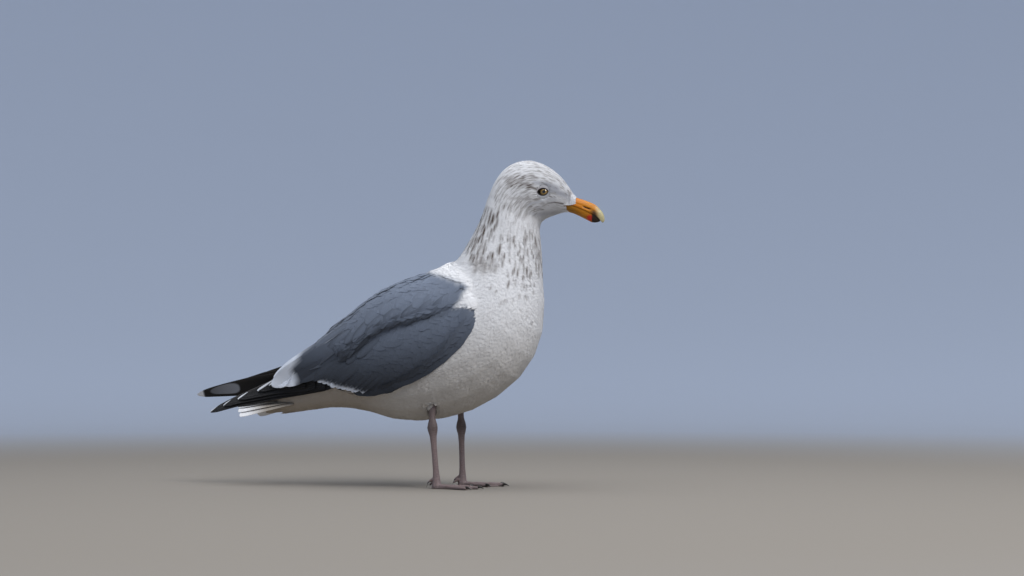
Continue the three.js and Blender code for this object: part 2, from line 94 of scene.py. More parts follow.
def node(tree, kind, **settings):
    """A shader node. Settings named for its properties are set on it, and the rest on its sockets."""
    made = tree.nodes.new("ShaderNode" + kind)
    for key, value in settings.items():
        if hasattr(made, key):
            setattr(made, key, value)
        else:
            made.inputs[key.replace("_", " ")].default_value = value
    return made

def bumped(tree, shader, height, strength, distance):
    """Gives a shader a fine relief."""
    bump = node(tree, "Bump", Strength=strength, Distance=distance)
    tree.links.new(height, bump.inputs["Height"])
    tree.links.new(bump.outputs["Normal"], shader.inputs["Normal"])


def grid_mesh(name, rows, closed=False):
    """A mesh through rows of equally many points, each row closed on itself or open."""
    points = np.array(rows, dtype=float)
    count, across = points.shape[:2]
    faces = []
    for i in range(count - 1):
        for j in range(across if closed else across - 1):
            k = (j + 1) % across
            faces.append((i * across + j, i * across + k, (i + 1) * across + k, (i + 1) * across + j))
    mesh = bpy.data.meshes.new(name)
    mesh.from_pydata(points.reshape(-1, 3).tolist(), [], faces)
    mesh.polygons.foreach_set("use_smooth", [True] * len(faces))
    return mesh


floor_profile = [(0.001, 0), (1, 0), (FLOOR_FLAT, 0)]
for k in range(1, WALL_STEPS + 1):
    bend = k / WALL_STEPS * pi / 2
    reach = FLOOR_FLAT + (FLOOR_REACH - FLOOR_FLAT) * sin(bend)
    floor_profile.append((reach, WALL_TOP * (1 - cos(bend))))
turns = [2 * pi * k / 64 for k in range(64)]
floor_rings = [[(r * cos(a), r * sin(a), z) for a in turns] for r, z in floor_profile]
floor_mesh = grid_mesh("floor", floor_rings, True)
floor_material, floor_tree, floor_shader = finish_of("floor_paper", 0.9, 0.2)
floor_place = node(floor_tree, "TexCoord")
floor_reach = node(floor_tree, "VectorMath", operation="LENGTH")
floor_tree.links.new(floor_place.outputs["Object"], floor_reach.inputs[0])
floor_share = node(floor_tree, "MapRange", interpolation_type="SMOOTHSTEP")
floor_share.inputs["From Min"].default_value = 0.9
floor_share.inputs["From Max"].default_value = 4.2
floor_tree.links.new(floor_reach.outputs["Value"], floor_share.inputs["Value"])
floor_mix = node(floor_tree, "Mix", data_type="RGBA")
floor_mix.inputs["A"].default_value = FLOOR_COLOUR
floor_mix.inputs["B"].default_value = WALL_COLOUR
floor_tree.links.new(floor_share.outputs["Result"], floor_mix.inputs["Factor"])
floor_tree.links.new(floor_mix.outputs["Result"], floor_shader.inputs["Base Color"])
floor_grain = node(floor_tree, "TexNoise", Scale=90.0, Detail=3.0)
bumped(floor_tree, floor_shader, floor_grain.outputs["Fac"], 0.05, 0.001)
floor = shown("floor", floor_mesh, floor_material)


def lamp(name, place, aim, size, power, colour):
    """A square soft lamp that looks from its place to its aim."""
    data = bpy.data.lights.new(name, "AREA")
    data.shape = "SQUARE"
    data.size = size
    data.energy = power
    data.color = colour
    light = bpy.data.objects.new(name, data)
    light.location = place
    light.rotation_euler = (Vector(aim) - Vector(place)).to_track_quat("-Z", "Y").to_euler()
    bpy.context.scene.collection.objects.link(light)


lamp("lamp_above", (0.1, -0.3, 3.0), (0, 0, 0.2), 3.0, 74, (0.93, 0.96, 1.0))
lamp("lamp_ahead", (2.2, -1.5, 2.7), (0.1, 0, 0.25), 1.4, 74, (1.0, 0.99, 0.98))
world = bpy.data.worlds.new("sky")
world.use_nodes = True
world.node_tree.nodes["Background"].inputs["Color"].default_value = (0.78, 0.86, 1.0, 1)
world.node_tree.nodes["Background"].inputs["Strength"].default_value = 0.3
bpy.context.scene.world = world
bpy.context.scene.view_settings.view_transform = "Standard"

# ---------------------------------------------------------------- skin
# The bird's skin under its plumage, one closed surface from the bill's root to the tail's root, the folded
# wings with it. It lies inside the outline by the depth of the coat, and every feather roots in it.
SIDES = (("right", -1), ("left", 1))
BODY_NODES = ["head", "neck", "trunk", "rump"]
WING_NODES = ["wing", "tertials", "scapulars"]
VOXEL = 3.0 * MM
# how deep the coat lies over each of them, in the same order
COAT_DEPTH = np.array([1.7, 2.3, 2.4, 2.3, 2.0, 2.0, 2.4]) * MM

regions = [[name] for name in BODY_NODES] + [[name + "_" + side for side, _ in SIDES] for name in WING_NODES]
flesh = [name for region in regions for name in region]
HEAD, NECK, TRUNK, RUMP, WING, TERTIALS, SCAPULARS = range(7)


def joined_solids(names):
    """One mesh of several of the frame's solids."""
    form = bmesh.new()
    for name in names:
        form.from_mesh(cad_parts[name].data)
    mesh = bpy.data.meshes.new("joined")
    form.to_mesh(mesh)
    form.free()
    return mesh


def remeshed(mesh, voxel, rounds):
    """The mesh as one even closed surface of small squares, smoothed."""
    rough = shown("rough", mesh)
    remesh = rough.modifiers.new("remesh", "REMESH")
    remesh.mode = "VOXEL"
    remesh.voxel_size = voxel
    smooth = rough.modifiers.new("smooth", "SMOOTH")
    smooth.factor = 0.5
    smooth.iterations = rounds
    view = bpy.context.evaluated_depsgraph_get()
    even = bpy.data.meshes.new_from_object(rough.evaluated_get(view))
    bpy.data.objects.remove(rough)
    even.polygons.foreach_set("use_smooth", [True] * len(even.polygons))
    return even


def points_of(mesh, what="vertices", value="co"):
    """The places or normals of a mesh's vertices or faces, as an array."""
    items = getattr(mesh, what)
    flat = np.zeros(len(items) * 3, np.float32)
    items.foreach_get(value, flat)
    return flat.reshape(-1, 3).astype(float)


def tree_of(mesh):
    """A search tree over a mesh's faces."""
    corners = [v.co for v in mesh.vertices]
    return BVHTree.FromPolygons(corners, [tuple(p.vertices) for p in mesh.polygons])


def unit(vectors):
    """Vectors brought to length one."""
    return vectors / np.maximum(np.linalg.norm(vectors, axis=-1, keepdims=True), 1e-12)


skin_mesh = remeshed(joined_solids(flesh), VOXEL, 5)
skin_mesh.name = "skin"
region_trees = [tree_of(joined_solids(region)) for region in regions]
outer = points_of(skin_mesh)
skin_region = np.array(
    [min(range(7), key=lambda r: region_trees[r].find_nearest(place)[3]) for place in outer.tolist()]
)

# White feathers of the flank lie over the wing below its lower edge, and those of the neck's base over the
# front of the mantle. The lines are [x, z].
WING_EDGE = np.array([
    [-60, 127], [-50, 124.3], [-41, 122.2], [-33, 119.4], [-14, 116.5], [5, 119.5], [21, 126], [38, 131],
    [61, 141], [80, 153], [102, 171], [121, 191], [127, 209], [132, 222],
])
MANTLE_FRONT = np.array([
    [140, 220], [140, 232], [113.5, 234], [119, 241], [123, 245], [134, 249], [131, 256], [115, 265],
    [96, 271], [76, 274.5], [65, 279], [54, 292],
])
on_wing = np.isin(skin_region, (WING, TERTIALS, SCAPULARS))
x, _, z = outer.T / MM
white_over = (x > -50) & (z < np.interp(x, WING_EDGE[:, 0], WING_EDGE[:, 1]))
white_over |= (z > 228) & (x > np.interp(z, MANTLE_FRONT[:, 1], MANTLE_FRONT[:, 0]))
white_over &= on_wing
skin_region[white_over] = TRUNK
edges = np.zeros(len(skin_mesh.edges) * 2, np.int32)
skin_mesh.edges.foreach_get("vertices", edges)
ends = edges.reshape(-1, 2)
links = np.concatenate([ends, ends[:, ::-1]])
degree = np.bincount(links[:, 0], minlength=len(outer))


def evened(values, rounds):
    """Values on the skin's vertices, averaged with their neighbours' so many times."""
    for _ in range(rounds):
        around = np.stack(
            [np.bincount(links[:, 0], v[links[:, 1]], len(outer)) for v in values.T], -1
        )
        values = 0.5 * values + 0.5 * around / degree[:, None]
    return values


depth = evened(COAT_DEPTH[skin_region][:, None], 8)
inner = outer - points_of(skin_mesh, value="normal") * depth
skin_mesh.vertices.foreach_set("co", inner.ravel())
skin_mesh.update()
skin_normal = points_of(skin_mesh, value="normal")
skin_tree = tree_of(skin_mesh)
skin_faces = [tuple(p.vertices) for p in skin_mesh.polygons]

# The lie of the coat runs along this line, from the bill through the head and neck to the tail, and more
# steeply down over the folded wings.
LIE_LINE = np.array([
    [262, 358], [240, 359.5], [216, 374.5], [197, 379], [181, 375], [169, 364], [163, 347], [160, 322],
    [157, 295], [153, 266], [143, 235], [120, 207], [84, 186], [44, 174], [-1, 164], [-43, 155.5],
    [-80, 145], [-118, 130], [-149, 119.5], [-175, 108],
]) * MM
WING_LIE = radians(34)
LIE_REACH = 14 * MM
lie_run = unit(np.diff(LIE_LINE, axis=0))
lie_mid = (LIE_LINE[1:] + LIE_LINE[:-1]) / 2


def lie_at(places):
    """The direction of the body's own line beside each place."""
    flat = places[:, [0, 2]]
    gaps = np.linalg.norm(flat[:, None] - lie_mid[None], axis=2)
    share = np.exp(-((gaps / LIE_REACH) ** 2) + (gaps.min(1)[:, None] / LIE_REACH) ** 2)
    run = unit((share[:, :, None] * lie_run[None]).sum(1))
    return np.stack([run[:, 0], np.zeros(len(run)), run[:, 1]], -1)


def areas(corners):
    """The areas of faces with four corners."""
    return np.linalg.norm(np.cross(corners[:, 2] - corners[:, 0], corners[:, 3] - corners[:, 1]), axis=1) / 2

lie = lie_at(inner)
lie[on_wing] = (-cos(WING_LIE), 0, -sin(WING_LIE))
lie -= skin_normal * (lie * skin_normal).sum(1)[:, None]
lie = evened(lie, 25)
lie = unit(lie - skin_normal * (lie * skin_normal).sum(1)[:, None])
face_vertices = np.array([f[:4] if len(f) == 4 else (*f, f[0]) for f in skin_faces])
face_lie = unit(lie[face_vertices].mean(1))
face_normal = unit(skin_normal[face_vertices].mean(1))
face_region = skin_region[face_vertices[:, 0]]
face_middle = inner[face_vertices].mean(1)
face_sides = inner[face_vertices]
face_area = areas(face_sides)
face_depth = depth[face_vertices[:, 0], 0]

# the feathers of the forehead run out over the bill's root, so they have a collar to root in there: where
# each of its rings is, the top's height, the half width and the coat's depth
COLLAR = [
    (246.3, 366.3, 7.2, 0.4), (244.3, 367.9, 7.45, 0.6), (242.4, 369.4, 7.75, 0.75),
    (240.4, 371.3, 8.05, 0.95), (238.4, 373.6, 8.5, 1.2), (236.2, 376.7, 9.9, 1.5),
    (234.5, 378.6, 10.2, 1.7),
]
COLLAR_LOW = (357.2, 356.2)
COLLAR_ROUND = 24
collar = []
for x, top, half, _ in COLLAR:
    low = np.interp(x, (235, 246), COLLAR_LOW[::-1])
    turns = [pi * k / COLLAR_ROUND for k in range(COLLAR_ROUND + 1)]
    collar.append([(x, -half * cos(a), low + (top - low) * sin(a) ** 0.8) for a in turns])
collar = np.array(collar) * MM
patch = np.stack([collar[:-1, :-1], collar[:-1, 1:], collar[1:, 1:], collar[1:, :-1]], 2).reshape(-1, 4, 3)
patch_normal = unit(np.cross(patch[:, 1] - patch[:, 0], patch[:, 3] - patch[:, 0]))
patch_normal *= np.sign((patch_normal * (patch.mean(1) - np.array([240, 0, 360]) * MM)).sum(1))[:, None]
patch_lie = np.tile([-1.0, 0.0, 0.1], (len(patch), 1))
patch_lie = unit(patch_lie - patch_normal * (patch_lie * patch_normal).sum(1)[:, None])
face_lie = np.concatenate([face_lie, patch_lie])
face_normal = np.concatenate([face_normal, patch_normal])
face_region = np.concatenate([face_region, np.full(len(patch), HEAD)])
face_middle = np.concatenate([face_middle, patch.mean(1)])
face_sides = np.concatenate([face_sides, patch])
face_area = np.concatenate([face_area, areas(patch)])
face_depth = np.concatenate([face_depth, np.repeat([ring[3] for ring in COLLAR[:-1]], COLLAR_ROUND) * MM])
lay_tree = BVHTree.FromPolygons(
    inner.tolist() + patch.reshape(-1, 3).tolist(),
    skin_faces + [tuple(range(len(inner) + 4 * k, len(inner) + 4 * k + 4)) for k in range(len(patch))],
)

# ---------------------------------------------------------------- markings
# The bird's winter pattern, read alike by the skin and by every feather: white, with grey-brown dashes on
# the head and neck, and the grey mantle and wings, with painted shade worked in about the face, low on the
# wing and under the body. It is worked out from places on the bird.
WHITE = np.array([0.80, 0.80, 0.815])
GREY = np.array([0.165, 0.197, 0.262])
BROWN = np.array([0.115, 0.085, 0.068])
# SHADE is the grey of painted shade on the face
SHADE = np.array([0.28, 0.29, 0.34])
BLACK = np.array([0.0085, 0.008, 0.0085])
END_WHITE = np.array([0.80, 0.85, 0.94])
EYE = np.array([207, 17.9, 372.5]) * MM
chance = np.random.default_rng(7)


def near_tree(places):
    """A search tree over places."""
    tree = KDTree(len(places))
    for k, place in enumerate(places.tolist()):
        tree.insert(place, k)
    tree.balance()
    return tree

def stroke_gap(flat, start, end):
    """How far places [x, z] are from a straight stroke."""
    run = np.subtract(end, start)
    share = np.clip((flat - start) @ run / (run @ run), 0, 1)
    return np.linalg.norm(flat - start - share[:, None] * run, axis=1)

def nearest_faces(places):
    """The skin's faces nearest to the places."""
    return np.array([lay_tree.find_nearest(p)[2] for p in places.tolist()])


# zones of dashes: how many on each side, the zone's corners [x low, x high, z low, z high], their length
# and width, and how dark they are
DASH_ZONES = [
    (55, (117, 156, 286, 350), 10.5, 2.5, 0.95),
    (16, (122, 152, 266, 294), 11.0, 4.6, 0.6),
    (62, (182, 206, 262, 325), 8.0, 2.0, 0.85),
    (44, (152, 184, 252, 314), 7.5, 2.0, 0.75),
    (34, (144, 194, 206, 262), 4.6, 2.2, 0.55),
    (50, (156, 194, 312, 346), 8.0, 1.3, 0.4),
    (130, (158, 238, 384, 414), 6.5, 1.1, 0.6),
    (170, (146, 200, 343, 392), 7.5, 1.2, 0.6),
    (60, (200, 238, 352, 386), 3.6, 0.9, 0.5),
    (260, (146, 236, 340, 410), 5.0, 0.8, 0.3),
    (60, (158, 200, 375, 393), 7.0, 1.3, 0.95),
    (60, (158, 206, 350, 368), 6.0, 1.2, 0.75),
    (26, (226, 243, 358, 372), 3.0, 0.7, 0.45),
    (70, (205, 240, 366, 387), 3.4, 1.0, 0.75),
    (50, (106, 142, 288, 352), 10.0, 2.4, 0.9),
]
dash_places = []
dash_sizes = []
for count, (x0, x1, z0, z1), length, width, dark in DASH_ZONES:
    flat = face_middle / MM
    inside = (flat[:, 0] > x0) & (flat[:, 0] < x1) & (flat[:, 2] > z0) & (flat[:, 2] < z1)
    inside &= face_region < RUMP
    chosen = chance.choice(np.flatnonzero(inside), 2 * count, replace=False)
    dash_places.append(chosen)
    stretch = chance.uniform(0.6, 1.5, 2 * count)
    strength = dark * chance.uniform(0.35, 1.2, 2 * count)
    dash_sizes.append(np.stack([length * stretch * MM, width * stretch**0.5 * MM, strength], -1))
dash_places = np.concatenate(dash_places)
dash_sizes = np.concatenate(dash_sizes)

# broad smudges on each side: the two ends of a stroke [x, z], its width, how dark it is and its colour. The
# brown ones are streaks in the plumage; the SHADE ones are painted shade over and before the eye, on the
# cheek, under the chin and at the bill's root.
SMUDGES = [
    ((197, 384), (212, 383), 3.6, 0.5, SHADE),
    ((212, 382), (224, 376), 4.4, 0.7, SHADE),
    ((216, 374.5), (235, 368.5), 4.0, 0.7, SHADE),
    ((216, 371.5), (224, 370), 2.0, 0.55, BROWN),
    ((201, 375), (189, 380.5), 1.8, 0.85, BROWN),
    ((191, 380), (176, 385.5), 2.0, 0.62, BROWN),
    ((178, 386), (160, 391.5), 2.2, 0.5, BROWN),
    ((193, 363.5), (166, 364.5), 1.8, 0.5, BROWN),
    ((206, 361.5), (190, 357), 2.4, 0.4, SHADE),
    ((222, 364), (206, 364), 2.6, 0.35, SHADE),
    ((214, 364.5), (210, 365.5), 1.2, 0.45, BROWN),
    ((206, 354.6), (213, 358.2), 0.75, 0.5, BROWN),
    ((213, 358.2), (221, 359.3), 0.75, 0.85, BROWN),
    ((221, 359.3), (231, 357.8), 0.85, 0.95, BROWN),
    ((195, 345), (226, 347), 3.2, 0.35, SHADE),
    ((236, 367), (245, 361), 6.0, 0.42, SHADE),
    ((119, 285), (138, 272), 5.0, 0.42, BROWN),
]


def darkened(places):
    """How far the dashes and smudges darken each place, and towards which colour."""
    amount = np.zeros(len(places))
    colour = np.tile(BROWN, (len(places), 1))
    tree = near_tree(places)
    for face, (length, width, strength) in zip(dash_places, dash_sizes):
        centre = face_middle[face]
        found = np.array([k for _, k, _ in tree.find_range(centre, 0.7 * length + 3 * MM)], int)
        if len(found) == 0:
            continue
        away = places[found] - centre
        along = away @ face_lie[face]
        across = away @ np.cross(face_normal[face], face_lie[face])
        value = strength * np.exp(-((2 * along / length) ** 4) - (1.6 * across / width) ** 2)
        amount[found] = np.maximum(amount[found], value)
    flat = places[:, [0, 2]] / MM
    for start, end, width, strength, tint in SMUDGES:
        off = stroke_gap(flat, start, end)
        value = strength * np.exp(-((off / width) ** 2)) * (places[:, 2] > 0.25)
        stronger = value > amount
        colour[stronger] = tint
        amount = np.maximum(amount, value)
    return amount, colour


# the lower edge of the scapulars [x, z]; painted shade darkens the wing just below it
SCAPULAR_EDGE = np.array([
    [-54, 162], [-23, 181], [3, 203], [20, 207], [28, 211.6], [32, 206], [56, 213], [68, 216],
    [78, 217.5], [92, 221], [114, 233],
])


def grey_in_painted_shade(places):
    """How light the grey is at each place: darker low on the wing and just under the scapulars' edge, both
    painted shade.
    """
    x, _, z = (places / MM).T
    below = np.interp(x, SCAPULAR_EDGE[:, 0], SCAPULAR_EDGE[:, 1]) - z
    # painted shade: a dark band just under the scapulars' edge, and the grey darkening down the wing's lower
    # curve
    shaded = 0.3 * np.exp(-(((below - 2.5) / 4) ** 2)) * (x > -52) * (x < 112)
    return np.interp(z, [118, 150, 190, 270], [0.15, 0.33, 0.64, 1.0]) * (1 - shaded)


# where the grey of the mantle and the wing's top gives way softly to white in front [x, z]
GREY_FRONT = np.array([
    [118, 228.4], [103.8, 227.3], [111.3, 236.8], [112.2, 243.2], [118.4, 251.9], [112.1, 256.8],
    [89.5, 265.2], [70.1, 270.4], [55, 276], [40, 294],
])
SOFT_FRONT = 6.5
# the height of the apex of the white wedge over the wing, and where that front starts to count [x, z]
WEDGE_APEX = 227.3
FRONT_FROM = (30, 215)
# the secondaries' tips, the white hem of the closed wing [x, z]: behind, black feathers show below it
HEM = np.array([
    [-113, 135], [-103, 137.5], [-87.4, 134], [-74.8, 131], [-65.2, 128.4], [-45.5, 124.8],
    [-29.1, 119.6], [-14.6, 116.4],
])
# black shows below it along this stretch
HEM_SPAN = (-118, -48)
# how much of each colour the painted warm shade under the belly takes away, and how much more behind
BELLY_PAINTED_SHADE = np.array([0.34, 0.385, 0.46])
VENT_PAINTED_SHADE = np.array([0.22, 0.25, 0.27])
# where the white ends of the tertials begin [x, z]
WHITE_END = np.array([[-121, 136], [-126, 148], [-124, 159], [-116, 172]])


def line_gap(flat, line):
    """How far places [x, z] are from a line of such places."""
    return np.min([stroke_gap(flat, start, end) for start, end in zip(line[:-1], line[1:])], axis=0)


def white_end(places):
    """How far each place is in the white ends of the tertials."""
    x, _, z = (places / MM).T
    return np.clip(0.5 + (np.interp(z, WHITE_END[:, 1], WHITE_END[:, 0]) - x) / 5, 0, 1)


def markings(places, kinds):
    """The plumage's colour at places on or over the skin, of the given regions, painted shade included."""
    x, _, z = (places / MM).T
    grey = np.isin(kinds, (WING, TERTIALS, SCAPULARS)).astype(float)
    ahead = (z > WEDGE_APEX) & (x > np.interp(z, GREY_FRONT[1:, 1], GREY_FRONT[1:, 0]))
    gap = line_gap(places[:, [0, 2]] / MM, GREY_FRONT) * np.where(ahead, 1, -1)
    by_front = (x > FRONT_FROM[0]) & ((z > WEDGE_APEX) | (grey > 0) & (z > FRONT_FROM[1]))
    grey = np.where(by_front, np.clip(0.5 - gap / SOFT_FRONT, 0, 1), grey)
    grey *= 1 - white_end(places) * (kinds == TERTIALS)
    colour = WHITE + grey[:, None] * (GREY * grey_in_painted_shade(places)[:, None] - WHITE)
    below_hem = (x > HEM_SPAN[0]) & (x < HEM_SPAN[1]) & (z < np.interp(x, HEM[:, 0], HEM[:, 1]) - 1)
    colour[below_hem & np.isin(kinds, (WING, TERTIALS))] = BLACK
    amount, tint = darkened(places)
    amount *= 1 - grey
    colour += amount[:, None] * (tint - colour)
    # painted warm shade darkens the belly and the feathers under the tail
    low = np.interp(z, [85, 150, 205, 235], [1, 0.6, 0.12, 0]) * (1 - grey)
    behind = np.clip((20 - x) / 60, 0, 1)[:, None]
    colour *= 1 - low[:, None] * (BELLY_PAINTED_SHADE + behind * VENT_PAINTED_SHADE)
    return colour


def paint(mesh, colours):
    """Stores a colour for every vertex of a mesh, for its material to read."""
    layer = mesh.color_attributes.new("Marking", "FLOAT_COLOR", "POINT")
    full = np.ones((len(mesh.vertices), 4), np.float32)
    full[:, :3] = np.clip(colours, 0, 1)
    layer.data.foreach_set("color", full.ravel())


def ranged(tree, value, low, high, value_low=0.0, value_high=1.0):
    """A value brought from one range to another."""
    made = node(tree, "MapRange")
    made.inputs["From Min"].default_value = value_low
    made.inputs["From Max"].default_value = value_high
    made.inputs["To Min"].default_value = low
    made.inputs["To Max"].default_value = high
    tree.links.new(value, made.inputs["Value"])
    return made.outputs["Result"]

def marked(tree, shader, tone):
    """Gives a shader its piece's own painted marking, made lighter and darker by a tone."""
    marking = node(tree, "Attribute", attribute_name="Marking")
    mix = node(tree, "Mix", data_type="RGBA", blend_type="MULTIPLY")
    mix.inputs["Factor"].default_value = 1
    tree.links.new(marking.outputs["Color"], mix.inputs["A"])
    tree.links.new(tone, mix.inputs["B"])
    tree.links.new(mix.outputs["Result"], shader.inputs["Base Color"])

skin_material, skin_nodes, skin_shader = finish_of("down_and_skin", 0.85, 0.2)
skin_fleck = node(skin_nodes, "TexNoise", Scale=600.0, Detail=3.0).outputs["Fac"]
marked(skin_nodes, skin_shader, ranged(skin_nodes, skin_fleck, 0.72, 0.98))
bumped(skin_nodes, skin_shader, skin_fleck, 0.5, 0.0006)
paint(skin_mesh, markings(inner, skin_region))
skin = shown("skin", skin_mesh, skin_material)
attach(skin, "root")
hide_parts(*flesh)

# ---------------------------------------------------------------- body feathers
# Thousands of small soft feathers that root in the skin and lie back over each other along the body. Each is
# a thin vane that ends in loose barbs: tiny on the face, longer on the neck, broad on the breast and belly.
line_length = np.concatenate([[0], np.cumsum(np.linalg.norm(np.diff(LIE_LINE, axis=0), axis=1))])


def unwrapped(places):
    """Where places lie on the skin unrolled: along the body's line and round it from the belly."""
    flat = places[:, [0, 2]]
    steps = np.diff(LIE_LINE, axis=0)
    offset = flat[:, None] - LIE_LINE[None, :-1]
    share = np.clip((offset * steps).sum(2) / (steps**2).sum(1), 0, 1)
    gap = np.linalg.norm(offset - share[:, :, None] * steps, axis=2)
    best = gap.argmin(1)
    row = np.arange(len(places))
    along = line_length[best] + share[row, best] * np.linalg.norm(steps, axis=1)[best]
    run = lie_run[best]
    upright = offset[row, best, 0] * run[:, 1] - offset[row, best, 1] * run[:, 0]
    round_it = np.arctan2(places[:, 1], upright) / (2 * pi) + 0.5
    return np.stack([0.01 + 0.98 * along / line_length[-1], 0.01 + 0.98 * round_it], -1)


def scattered(spacing, wanted):
    """Places on the skin's wanted faces, no two nearer than the spacing there: their faces and places."""
    space = spacing(face_middle)
    share = np.where(wanted, face_area / space**2, 0)
    count = int(share.sum() * 3)
    faces = chance.choice(len(share), count, p=share / share.sum())
    along, across = chance.random((2, count, 1))
    corner = face_sides[faces]
    low = corner[:, 0] + along * (corner[:, 1] - corner[:, 0])
    high = corner[:, 3] + along * (corner[:, 2] - corner[:, 3])
    places = low + across * (high - low)
    tree = near_tree(places)
    free = np.ones(count, bool)
    kept = []
    for k, place in enumerate(places.tolist()):
        if free[k]:
            kept.append(k)
            for _, near, _ in tree.find_range(place, space[faces[k]]):
                free[near] = False
    return faces[kept], places[kept]


STATIONS = 5


def laid(faces, places, lengths, turn=0.0):
    """The midlines of feathers laid over the skin from their roots: places, normals and sides at stations."""
    count = len(places)
    spots = np.zeros((STATIONS, count, 3))
    ups = np.zeros((STATIONS, count, 3))
    runs = np.zeros((STATIONS, count, 3))
    spots[0], ups[0], runs[0] = places, face_normal[faces], face_lie[faces]
    first = unit(np.cross(ups[0], runs[0]))
    runs[0] = unit(runs[0] + np.asarray(turn)[..., None] * first)
    step = (lengths / (STATIONS - 1))[:, None]
    for k in range(1, STATIONS):
        ahead = spots[k - 1] + runs[k - 1] * step
        for i, place in enumerate(ahead.tolist()):
            spot, _, face, _ = lay_tree.find_nearest(place)
            spots[k, i] = spot
            ups[k, i] = face_normal[face]
        bent = spots[k] - spots[k - 1]
        bent -= ups[k] * (bent * ups[k]).sum(1)[:, None]
        runs[k] = unit(bent)
        # a feather is stiff, so its place and normal turn only part of the way with the skin
        ups[k] = unit(0.5 * ups[k - 1] + ups[k])
        spots[k] = spots[k - 1] + unit(0.35 * runs[k - 1] + unit(spots[k] - spots[k - 1])) * step
    sides = unit(np.cross(ups, runs))
    return spots, ups, sides


def vane_form(rows, across, tips, droop):
    """One vane's outline: its points, as shares of its length and half width, and its faces."""
    lines = np.linspace(-1, 1, across + 1)
    points = [(t * (1 - droop * w * w), w) for t in rows for w in lines]
    faces = []
    for i in range(len(rows) - 1):
        for j in range(across):
            a = i * (across + 1) + j
            faces.append((a, a + 1, a + across + 2, a + across + 1))
    if tips:
        last = (len(rows) - 1) * (across + 1)
        for j in range(across):
            w = (lines[j] + lines[j + 1]) / 2
            points.append((1 - 1.15 * droop * w * w, w * 0.92))
            faces.append((last + j, last + j + 1, len(points) - 1))
    return np.array(points), faces


def vanes(name, midlines, roots, halves, form, lift, cup, paint_of, material, width, rag=0.09):
    """One mesh of many vanes laid along their midlines, with their colours and their two maps."""
    spots, ups, sides = midlines
    points, faces = form
    last = len(spots) - 1
    count, size = len(roots), len(points)
    t = np.tile(points[:, 0], (count, 1))
    w = np.tile(points[:, 1], (count, 1))
    loose = points[:, 0] > 0.5
    t[:, loose] += rag * chance.uniform(-1, 0.7, (count, loose.sum()))
    where = np.clip(t, 0, 0.9999) * last
    low = where.astype(int)
    part = (where - low)[:, :, None] + np.clip(t - 0.9999, 0, 1)[:, :, None] * last
    row = np.arange(count)[:, None]
    spot = spots[low, row] * (1 - part) + spots[low + 1, row] * part
    up = ups[low, row] * (1 - part) + ups[low + 1, row] * part
    side = sides[low, row] * (1 - part) + sides[low + 1, row] * part
    spread = halves[:, None] * w * width(t)
    rise = lift[:, :1] + (lift[:, 1:] - lift[:, :1]) * np.clip(t, 0, 1.1) ** 0.4
    rise -= cup * halves[:, None] * w**2
    rise += chance.uniform(-0.08, 0.08, (count, size)) * MM * loose
    places = spot + side * spread[:, :, None] + up * rise[:, :, None]
    mesh = bpy.data.meshes.new(name)
    mesh.vertices.add(count * size)
    mesh.vertices.foreach_set("co", places.astype(np.float32).ravel())
    corners_of = np.tile([len(f) for f in faces], count)
    own_corners = np.concatenate([np.array(f) for f in faces])
    corners = (own_corners[None] + (np.arange(count) * size)[:, None]).ravel()
    mesh.loops.add(len(corners))
    mesh.loops.foreach_set("vertex_index", corners.astype(np.int32))
    mesh.polygons.add(len(corners_of))
    starts = np.concatenate([[0], np.cumsum(corners_of)[:-1]])
    mesh.polygons.foreach_set("loop_start", starts.astype(np.int32))
    mesh.polygons.foreach_set("use_smooth", np.ones(len(corners_of), bool))
    mesh.update(calc_edges=True)
    paint(mesh, paint_of(places, t, w).reshape(-1, 3))
    own = np.stack([w * 0.5 + 0.5, t], -1).reshape(-1, 2)
    patch = np.clip(unwrapped(roots)[:, None] + np.stack([t - 0.5, w / 2], -1) * 0.003, 0, 1)
    for map_name, values in (("Vane", own), ("OFBake", patch.reshape(-1, 2))):
        layer = mesh.uv_layers.new(name=map_name)
        layer.data.foreach_set("uv", values[corners].astype(np.float32).ravel())
    thing = shown(name, mesh, material)
    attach(thing, "root")
    return thing


def plumage(name, roughness, sheen, barbs):
    """The finish of a vane: its own marking, fine barbs that run out from the shaft, and a soft sheen."""
    material, tree, shader = finish_of(name, roughness, 0.25)
    shader.inputs["Sheen Weight"].default_value = sheen
    shader.inputs["Sheen Roughness"].default_value = 0.5

    def worked(operation, *values):
        """The result of a sum with values that are numbers or other nodes' outputs."""
        made = node(tree, "Math", operation=operation)
        for socket, value in zip(made.inputs, values):
            if isinstance(value, float):
                socket.default_value = value
            else:
                tree.links.new(value, socket)
        return made.outputs[0]

    own = node(tree, "UVMap", uv_map="Vane")
    parts = node(tree, "SeparateXYZ")
    tree.links.new(own.outputs["UV"], parts.inputs["Vector"])
    # barbs slant forward from the shaft, on both sides of it
    out = worked("ABSOLUTE", worked("SUBTRACT", parts.outputs["X"], 0.5))
    slant = worked("MULTIPLY_ADD", out, -0.9, parts.outputs["Y"])
    comb = worked("SINE", worked("MULTIPLY", slant, barbs))
    cloud = node(tree, "TexNoise", Scale=260.0, Detail=2.0)
    total = worked("MULTIPLY_ADD", comb, 0.5, cloud.outputs["Fac"])
    marked(tree, shader, ranged(tree, total, 0.93, 1.06, -0.3, 1.4))
    bumped(tree, shader, total, 0.25, 0.0003)
    return material


soft_plumage = plumage("soft_white_plumage", 0.85, 0.15, 60.0)
SMALL = vane_form((0, 0.55), 3, True, 0.2)
BROAD = vane_form((0, 0.35, 0.72), 4, True, 0.22)


